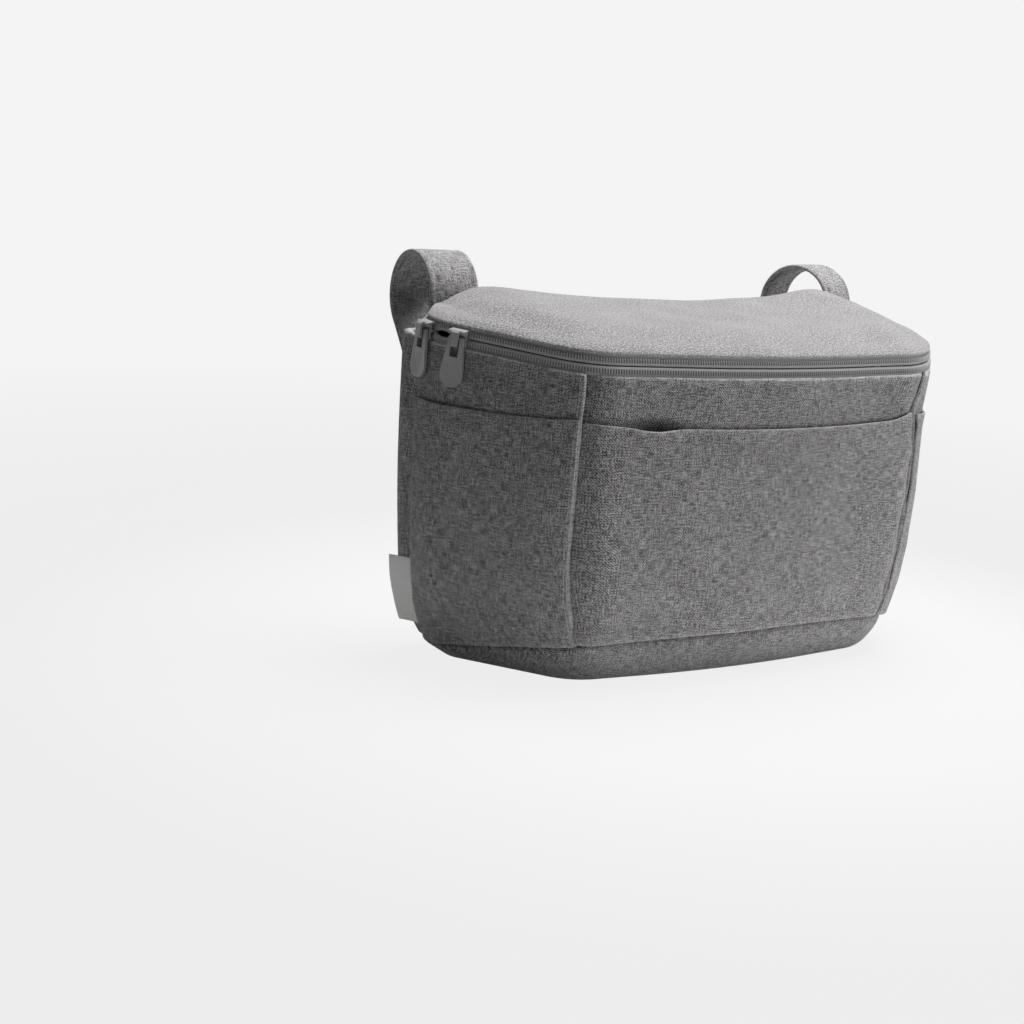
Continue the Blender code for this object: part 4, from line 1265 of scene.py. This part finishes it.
def make_tab(name, side):
    """Folded cloth tab that closes the zip's end and turns the rear corner."""
    columns = []
    for d in spread_runs(side * (ZIP_END + 1.0), side * (run(BACK_START, True) - 1.4), 2.0):
        column = []
        for up in np.linspace(-ZIP_BAND / 2 + 0.9, ZIP_BAND / 2 - 1.5, 9):
            full = 0.7 + 1.1 * math.cos(math.pi * up / ZIP_BAND)
            full += TAB_SPREAD * (0.5 - up / ZIP_BAND)
            column.append((zip_place(d, band_out(d, up) + full, up), (d, up)))
        columns.append(column)
    return make_sheet(name, *as_grids(columns), TAB_CLOTH, flip=side < 0)


for side, word in SIDES:
    dress_panel(make_tab("zip_end_cloth_" + word, side), "zip_end_tab_" + word)

# %% [markdown]
# ## Sliders and pulls
#
# The sliders and the flat pulls are zinc castings with a satin grey paint. The sliders keep their
# CAD shapes and only get the painted finish. The pulls are made from the CAD ones, a little
# shorter, as in the photo, and swing on the same joints. Paint on a small casting is never
# quite even, so its tone and its roughness are broken up by noise.

# %% Satin paint on zinc
def painted_zinc(name):
    """Satin grey paint over cast zinc: soft highlights, fine orange peel."""
    made, tree, shader = principled(name, "#979697", 0.34, specular=0.55)
    shader.inputs["Coat Weight"].default_value = 0.15
    shader.inputs["Coat Roughness"].default_value = 0.3
    spot = object_map(tree)
    fine = noise_node(tree, spot, 0.6 * MM)
    colour_by(tree, shader, noise_node(tree, spot, 6 * MM), "#8d8c8d", "#a2a1a2")
    gloss = add(tree, "MapRange", Value=fine, _3=0.28, _4=0.42)
    tree.links.new(gloss.outputs[0], shader.inputs["Roughness"])
    bump_by(tree, shader, fine, 0.12, 0.1 * MM)
    return made


def repaint(finish, *nodes):
    """Give CAD nodes one material."""
    for name in nodes:
        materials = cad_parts[name].data.materials
        materials.clear()
        materials.append(finish)


zinc = painted_zinc("painted_zinc")
repaint(zinc, "slider_front", "slider_rear")

# %% Pulls with a raised rim
PULL_SHORTER = 5.0
PULL_ROUND = 9.0
PULL_RIM = 1.1
PULL_SUNK = 0.4
PULL_FACE = 0.5
PULL_TIP = 1.5


def cast_pull(name, node):
    """Pull from the CAD one: a little shorter, as in the photo, its faces sunk in a rim."""
    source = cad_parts[node]
    build = bmesh.new()
    build.from_mesh(source.data)
    build.transform(source.matrix_world)
    bmesh.ops.remove_doubles(build, verts=build.verts, dist=0.002 * MM)
    places = np.array([tuple(v.co) for v in build.verts])
    top = places[places[:, 2] > places[:, 2].max() - PULL_TIP * MM].mean(axis=0)
    low = places[places[:, 2] < places[:, 2].min() + PULL_TIP * MM].mean(axis=0)
    length = Vector(top - low).length
    down = Vector(low - top) / length
    for vert in build.verts:
        if (vert.co - Vector(top)).dot(down) > length - PULL_ROUND * MM:
            vert.co -= down * PULL_SHORTER * MM
    build.normal_update()
    across = Vector(np.linalg.eigh(np.cov(places.T))[1][:, 0])
    middle = Vector(low).dot(across)
    for way in (1, -1):
        flat = [f for f in build.faces if f.normal.dot(across) * way > 0.999
                and (f.calc_center_median().dot(across) - middle) * way > PULL_FACE * MM]
        bmesh.ops.inset_region(build, faces=flat, thickness=PULL_RIM * MM,
                               depth=-PULL_SUNK * MM, use_even_offset=False)
    mesh = bpy.data.meshes.new(name)
    build.to_mesh(mesh)
    build.free()
    mesh.materials.append(zinc)
    mesh.shade_smooth()
    mesh.set_sharp_from_angle(angle=math.radians(32))
    return dress(new_object(name, mesh), node, "metal", node)


for word in ("front", "rear"):
    pull = cast_pull("pull_casting_" + word, "pull_" + word)
    print(word, "pull:", len(pull.data.polygons), "faces,",
          [round(c / MM, 1) for c in pull.dimensions])

# %% [markdown]
# ## Bar loops, patches and label
#
# Two straps of the same cloth go over the push bar and fasten behind the bag with
# hook-and-loop tape. Each is a flat strap, turned in at its edges and stitched twice along
# them. A remesh or a simulation would wipe such thin straps out, so they are bent along
# their side view. The small label is a folded piece of white satin ribbon, left bare.

# %% Bar loop straps
STRAP_CLOTH = 2.5
BAR_Z = 189.0
STRAP_X = 135.0
STRAP_WIDTH = 30.0
STRAP_SEWN_Z = 149.0
STRAP_BEND_Z = 138.0
STRAP_BEND_RADIUS = 8.0
STRAP_END_Z = 94.0
BAR_RADIUS = 19.0
BAR_ROOM = 0.7
SEAT_GAP = 0.3
PATCH_CLOTH = 1.2
LOOP_RADIUS = BAR_RADIUS + BAR_ROOM + STRAP_CLOTH / 2
STRAP_Y = BACK_Y + SEAT_GAP + STRAP_CLOTH / 2
BAR_Y = STRAP_Y + LOOP_RADIUS
STRAP_END_Y = BACK_Y + 3 * SEAT_GAP + 2 * PATCH_CLOTH + STRAP_CLOTH / 2


def strap_line():
    """Side view of the strap's middle line: up the back, over the bar and down."""
    line = [(STRAP_Y, z) for z in np.linspace(STRAP_SEWN_Z, BAR_Z, 14)[:-1]]
    bar = Vector((BAR_Y, BAR_Z))
    bend = Vector((STRAP_END_Y + STRAP_BEND_RADIUS, STRAP_BEND_Z))
    between = bend - bar
    lean = math.acos((LOOP_RADIUS + STRAP_BEND_RADIUS) / between.length)
    leave = math.atan2(between.y, between.x) + lean
    for angle in np.linspace(math.pi, leave, 40):
        line.append((BAR_Y + LOOP_RADIUS * math.cos(angle),
                     BAR_Z + LOOP_RADIUS * math.sin(angle)))
    last = Vector(line[-1])
    meet = bend - Vector((math.cos(leave), math.sin(leave))) * STRAP_BEND_RADIUS
    line += [tuple(last.lerp(meet, share)) for share in (0.25, 0.5, 0.75)]
    for angle in np.linspace(leave + math.pi, math.pi, 8):
        line.append((bend.x + STRAP_BEND_RADIUS * math.cos(angle),
                     bend.y + STRAP_BEND_RADIUS * math.sin(angle)))
    line += [(STRAP_END_Y, z) for z in np.linspace(STRAP_BEND_Z, STRAP_END_Z + 1.2, 14)[1:]]
    return np.array(line)


# %% The two straps
LOOP_TURN = {-1: 0.0, 1: math.radians(18)}
LOOP_SHIFT = {-1: 2.0, 1: 10.0}
LOOP_PIVOT = {-1: 0.0, 1: -STRAP_WIDTH / 2}
STITCH_INSET = 2.6
STITCH_DENT = 0.4


def turned_loop(side, w, y, z, height):
    """Place of a strap point after the curved bar has turned its loop about the upright."""
    share = smooth((height - STRAP_SEWN_Z) / 28)
    angle = LOOP_TURN[side] * share
    across = w - LOOP_PIVOT[side]
    behind = y - STRAP_Y
    x = side * STRAP_X + LOOP_PIVOT[side] + LOOP_SHIFT[side] * share
    return (x + across * math.cos(angle) - behind * math.sin(angle),
            STRAP_Y + across * math.sin(angle) + behind * math.cos(angle), z)


def make_strap(name, side):
    """Strap with turned edges: a flat band, dented along its two rows of stitches."""
    line = strap_line()
    way = np.gradient(line, axis=0)
    way /= np.linalg.norm(way, axis=1, keepdims=True)
    out = np.stack([-way[:, 1], way[:, 0]], axis=1)
    travelled = np.concatenate([[0], np.cumsum(np.linalg.norm(np.diff(line, axis=0), axis=1))])
    half = STRAP_WIDTH / 2 - STRAP_CLOTH / 2
    edge = [-half, -half + 1.2, -half + STITCH_INSET]
    inner = np.linspace(-half + STITCH_INSET + 1.6, half - STITCH_INSET - 1.6, 7)
    widths = np.concatenate([edge, inner, [-w for w in reversed(edge)]])
    columns = []
    for w in widths:
        dent = -STITCH_DENT * math.exp(-((abs(w) - half + STITCH_INSET) / 0.9) ** 2)
        bent = line + out * (STRAP_CLOTH / 2 + dent)
        columns.append([(turned_loop(side, w, y, z, height), (w, along))
                        for (y, z), height, along in zip(bent, line[:, 1], travelled)])
    points, uv = as_grids(columns)
    return make_sheet(name, points, uv, STRAP_CLOTH - 0.2, True, canvas), points


for side, word in SIDES:
    strap, points = make_strap("bar_loop_cloth_" + word, side)
    dress(strap, "bag", "cloth", "strap_" + word)
    ups = grid_normals(points, True)
    rows = [(points[2:-2, c], ups[2:-2, c]) for c in (2, -3)]
    row = stitches("bar_loop_stitches_" + word, rows)
    print(word, "strap:", len(strap.data.vertices), "points")


# %% Hook-and-loop patches
def hook_and_loop(name):
    """Black nylon hook-and-loop tape: a dense matt pile of tiny hooks in rows."""
    made, tree, shader = principled(name, "#202022", 0.9, specular=0.2, sheen=0.2)
    pile = add(tree, "TexVoronoi", Vector=object_map(tree), Scale=1 / (0.9 * MM))
    hollow_and_shade = pile.outputs["Distance"]
    # Painted shade: the hollows between the hooks are drawn darker.
    colour_by(tree, shader, hollow_and_shade, "#313134", "#161618")
    bump_by(tree, shader, hollow_and_shade, 0.7, 0.5 * MM).invert = True
    return made


hooks = hook_and_loop("nylon_hook_and_loop")
repaint(hooks, "hook_patch_left", "hook_patch_right", "loop_patch_left", "loop_patch_right")


# %% Ribbon label
def satin_ribbon(name):
    """White satin ribbon: long floats of bright yarn with a soft sheen across them."""
    made, tree, shader = principled(name, "#efeeec", 0.38, specular=0.5, sheen=0.6)
    _, along, across = cloth_map(tree)
    spot = add(tree, "CombineXYZ", X=math_node(tree, "MULTIPLY", along, 150.0),
               Y=math_node(tree, "MULTIPLY", across, 2500.0))
    floats = noise_node(tree, spot.outputs[0], 1.0)
    colour_by(tree, shader, floats, "#e4e2e0", "#f6f5f4")
    bump_by(tree, shader, floats, 0.2, 0.1 * MM)
    return made


LABEL_TOP = 52.5
LABEL_LOW = 15.0
LABEL_LONG = 13.0
LABEL_LEAN = math.radians(24)
LABEL_CLOTH = 0.7


def make_label(name):
    """Label sewn in beside the left back strip: a ribbon that bends a little as it leaves."""
    station = -station_at(STRIP_RUN)
    columns = []
    for share in np.linspace(0, 1, 9):
        column = []
        for z in np.linspace(LABEL_LOW + 0.5, LABEL_TOP - 0.5, 16):
            sewn = wall(station, z, -0.3)
            out = place(station, z)[1]
            back = Vector((out.y, -out.x))
            lean = LABEL_LEAN + 0.18 * (share - 0.5) + 0.03 * math.sin(z / 6)
            way = back * math.cos(lean) + out * math.sin(lean)
            reach = LABEL_LONG * share
            column.append(((sewn.x + way.x * reach, sewn.y + way.y * reach, z), (z, reach)))
        columns.append(column)
    points, uv = as_grids(columns)
    return make_sheet(name, points, uv, LABEL_CLOTH, True, satin), points


satin = satin_ribbon("satin_ribbon")
label, points = make_label("label_ribbon")
dress(label, "bag", "label", "label_tab")
print("label:", LABEL_TOP - LABEL_LOW, "mm tall")
# %% [markdown]
# ## Floor, world and lights
#
# The photo is a studio shot on near white. A pale floor curves up into a wall, so that no
# horizon cuts the picture. Its near white is seen by the camera and in reflections, while a
# greyer paint sends less light back up, so that the left side stays dark, as in the picture.
# A broad lamp above lights the lid most, and a weaker one from the right lights the front.

# %% Pale floor
FLOOR_HEX = "#7c7c7c"
NEAR_FLOOR_HEX = "#f6f6f6"
NEAR_REACH = 0.38
SEEN_SHARE = 0.92
FAR_FROM = 0.5
FAR_TO = 1.2
FLOOR_BEND = 1.2
WALL_BEND = 0.9
BACKDROP_HEX = "#f4f4f4"


def seen_by_eye(tree):
    """One for rays from the camera, straight or by way of gloss or glass, and else zero."""
    ray = add(tree, "LightPath")
    seen = ray.outputs["Is Camera Ray"]
    for other in ("Is Glossy Ray", "Is Transmission Ray"):
        seen = math_node(tree, "MAXIMUM", seen, ray.outputs[other])
    return seen


def make_floor(name):
    """Wide floor that turns up into a wall behind the bag."""
    profile = [(-6.0, 0.0), (FLOOR_BEND, 0.0)]
    for step in range(1, 13):
        angle = math.pi / 2 * step / 12
        profile.append((FLOOR_BEND + WALL_BEND * math.sin(angle),
                        WALL_BEND - WALL_BEND * math.cos(angle)))
    profile.append((FLOOR_BEND + WALL_BEND, 5.0))
    way = Vector((-back_way.x, -back_way.y, 0)).normalized()
    across = Vector((way.y, -way.x, 0))
    verts = []
    for y, z in profile:
        for x in (-7.0, 7.0):
            verts.append(way * y + across * x + Vector((0, 0, z - 0.0002)))
    faces = [(2 * i, 2 * i + 1, 2 * i + 3, 2 * i + 2) for i in range(len(profile) - 1)]
    finish = bpy.data.materials.new("painted_studio_floor")
    finish.use_nodes = True
    tree = finish.node_tree
    tree.nodes.clear()
    glow = add(tree, "Emission", Color=linear(BACKDROP_HEX), Strength=1.0)
    seen = seen_by_eye(tree)
    spot = add(tree, "NewGeometry").outputs["Position"]
    away = add(tree, "VectorMath", {"operation": "LENGTH"}, _0=spot).outputs["Value"]
    near = add(tree, "MapRange", Value=away, _1=0.2, _2=NEAR_REACH).outputs[0]
    shade = add(tree, "Mix", {"data_type": "RGBA"}, _0=near)
    shade.inputs[6].default_value = linear(NEAR_FLOOR_HEX)
    shade.inputs[7].default_value = linear(FLOOR_HEX)
    paint = add(tree, "BsdfDiffuse", Color=shade.outputs[2])
    pale = add(tree, "MapRange", Value=away, _1=FAR_FROM, _2=FAR_TO, _3=SEEN_SHARE, _4=1.0)
    share = math_node(tree, "MULTIPLY", seen, pale.outputs[0])
    both = add(tree, "MixShader", _0=share, _1=paint.outputs[0], _2=glow.outputs[0])
    add(tree, "OutputMaterial", Surface=both.outputs[0])
    new_object(name, new_mesh(name, verts, faces, finish))


make_floor("studio_floor")

# %% World and lamps
world = bpy.data.worlds.new("studio_air")
world.use_nodes = True
bpy.context.scene.world = world
air = world.node_tree.nodes["Background"]
air.inputs["Color"].default_value = linear("#f3f3f3")
air.inputs["Strength"].default_value = 0.11
backdrop = add(world.node_tree, "Background", Color=linear(BACKDROP_HEX), Strength=1.0)
seen_air = add(world.node_tree, "MixShader", _0=seen_by_eye(world.node_tree),
               _1=air.outputs[0], _2=backdrop.outputs[0])
world.node_tree.links.new(seen_air.outputs[0], world.node_tree.nodes["World Output"].inputs[0])


def area_lamp(name, spot, aim, size, power):
    """Square soft lamp that looks at a point."""
    data = bpy.data.lights.new(name, "AREA")
    data.shape = "SQUARE"
    data.size = size
    data.energy = power
    made = new_object(name, data)
    made.location = spot
    made.rotation_euler = (Vector(aim) - Vector(spot)).to_track_quat("-Z", "Y").to_euler()
    return made


area_lamp("lamp_above", (0.35, 0.1, 1.3), (0, 0, 0.15), 0.8, 26)
area_lamp("lamp_right", (1.2, -0.85, 0.2), (0, 0, 0.08), 0.4, 6.2)
bpy.context.scene.view_settings.view_transform = "Standard"
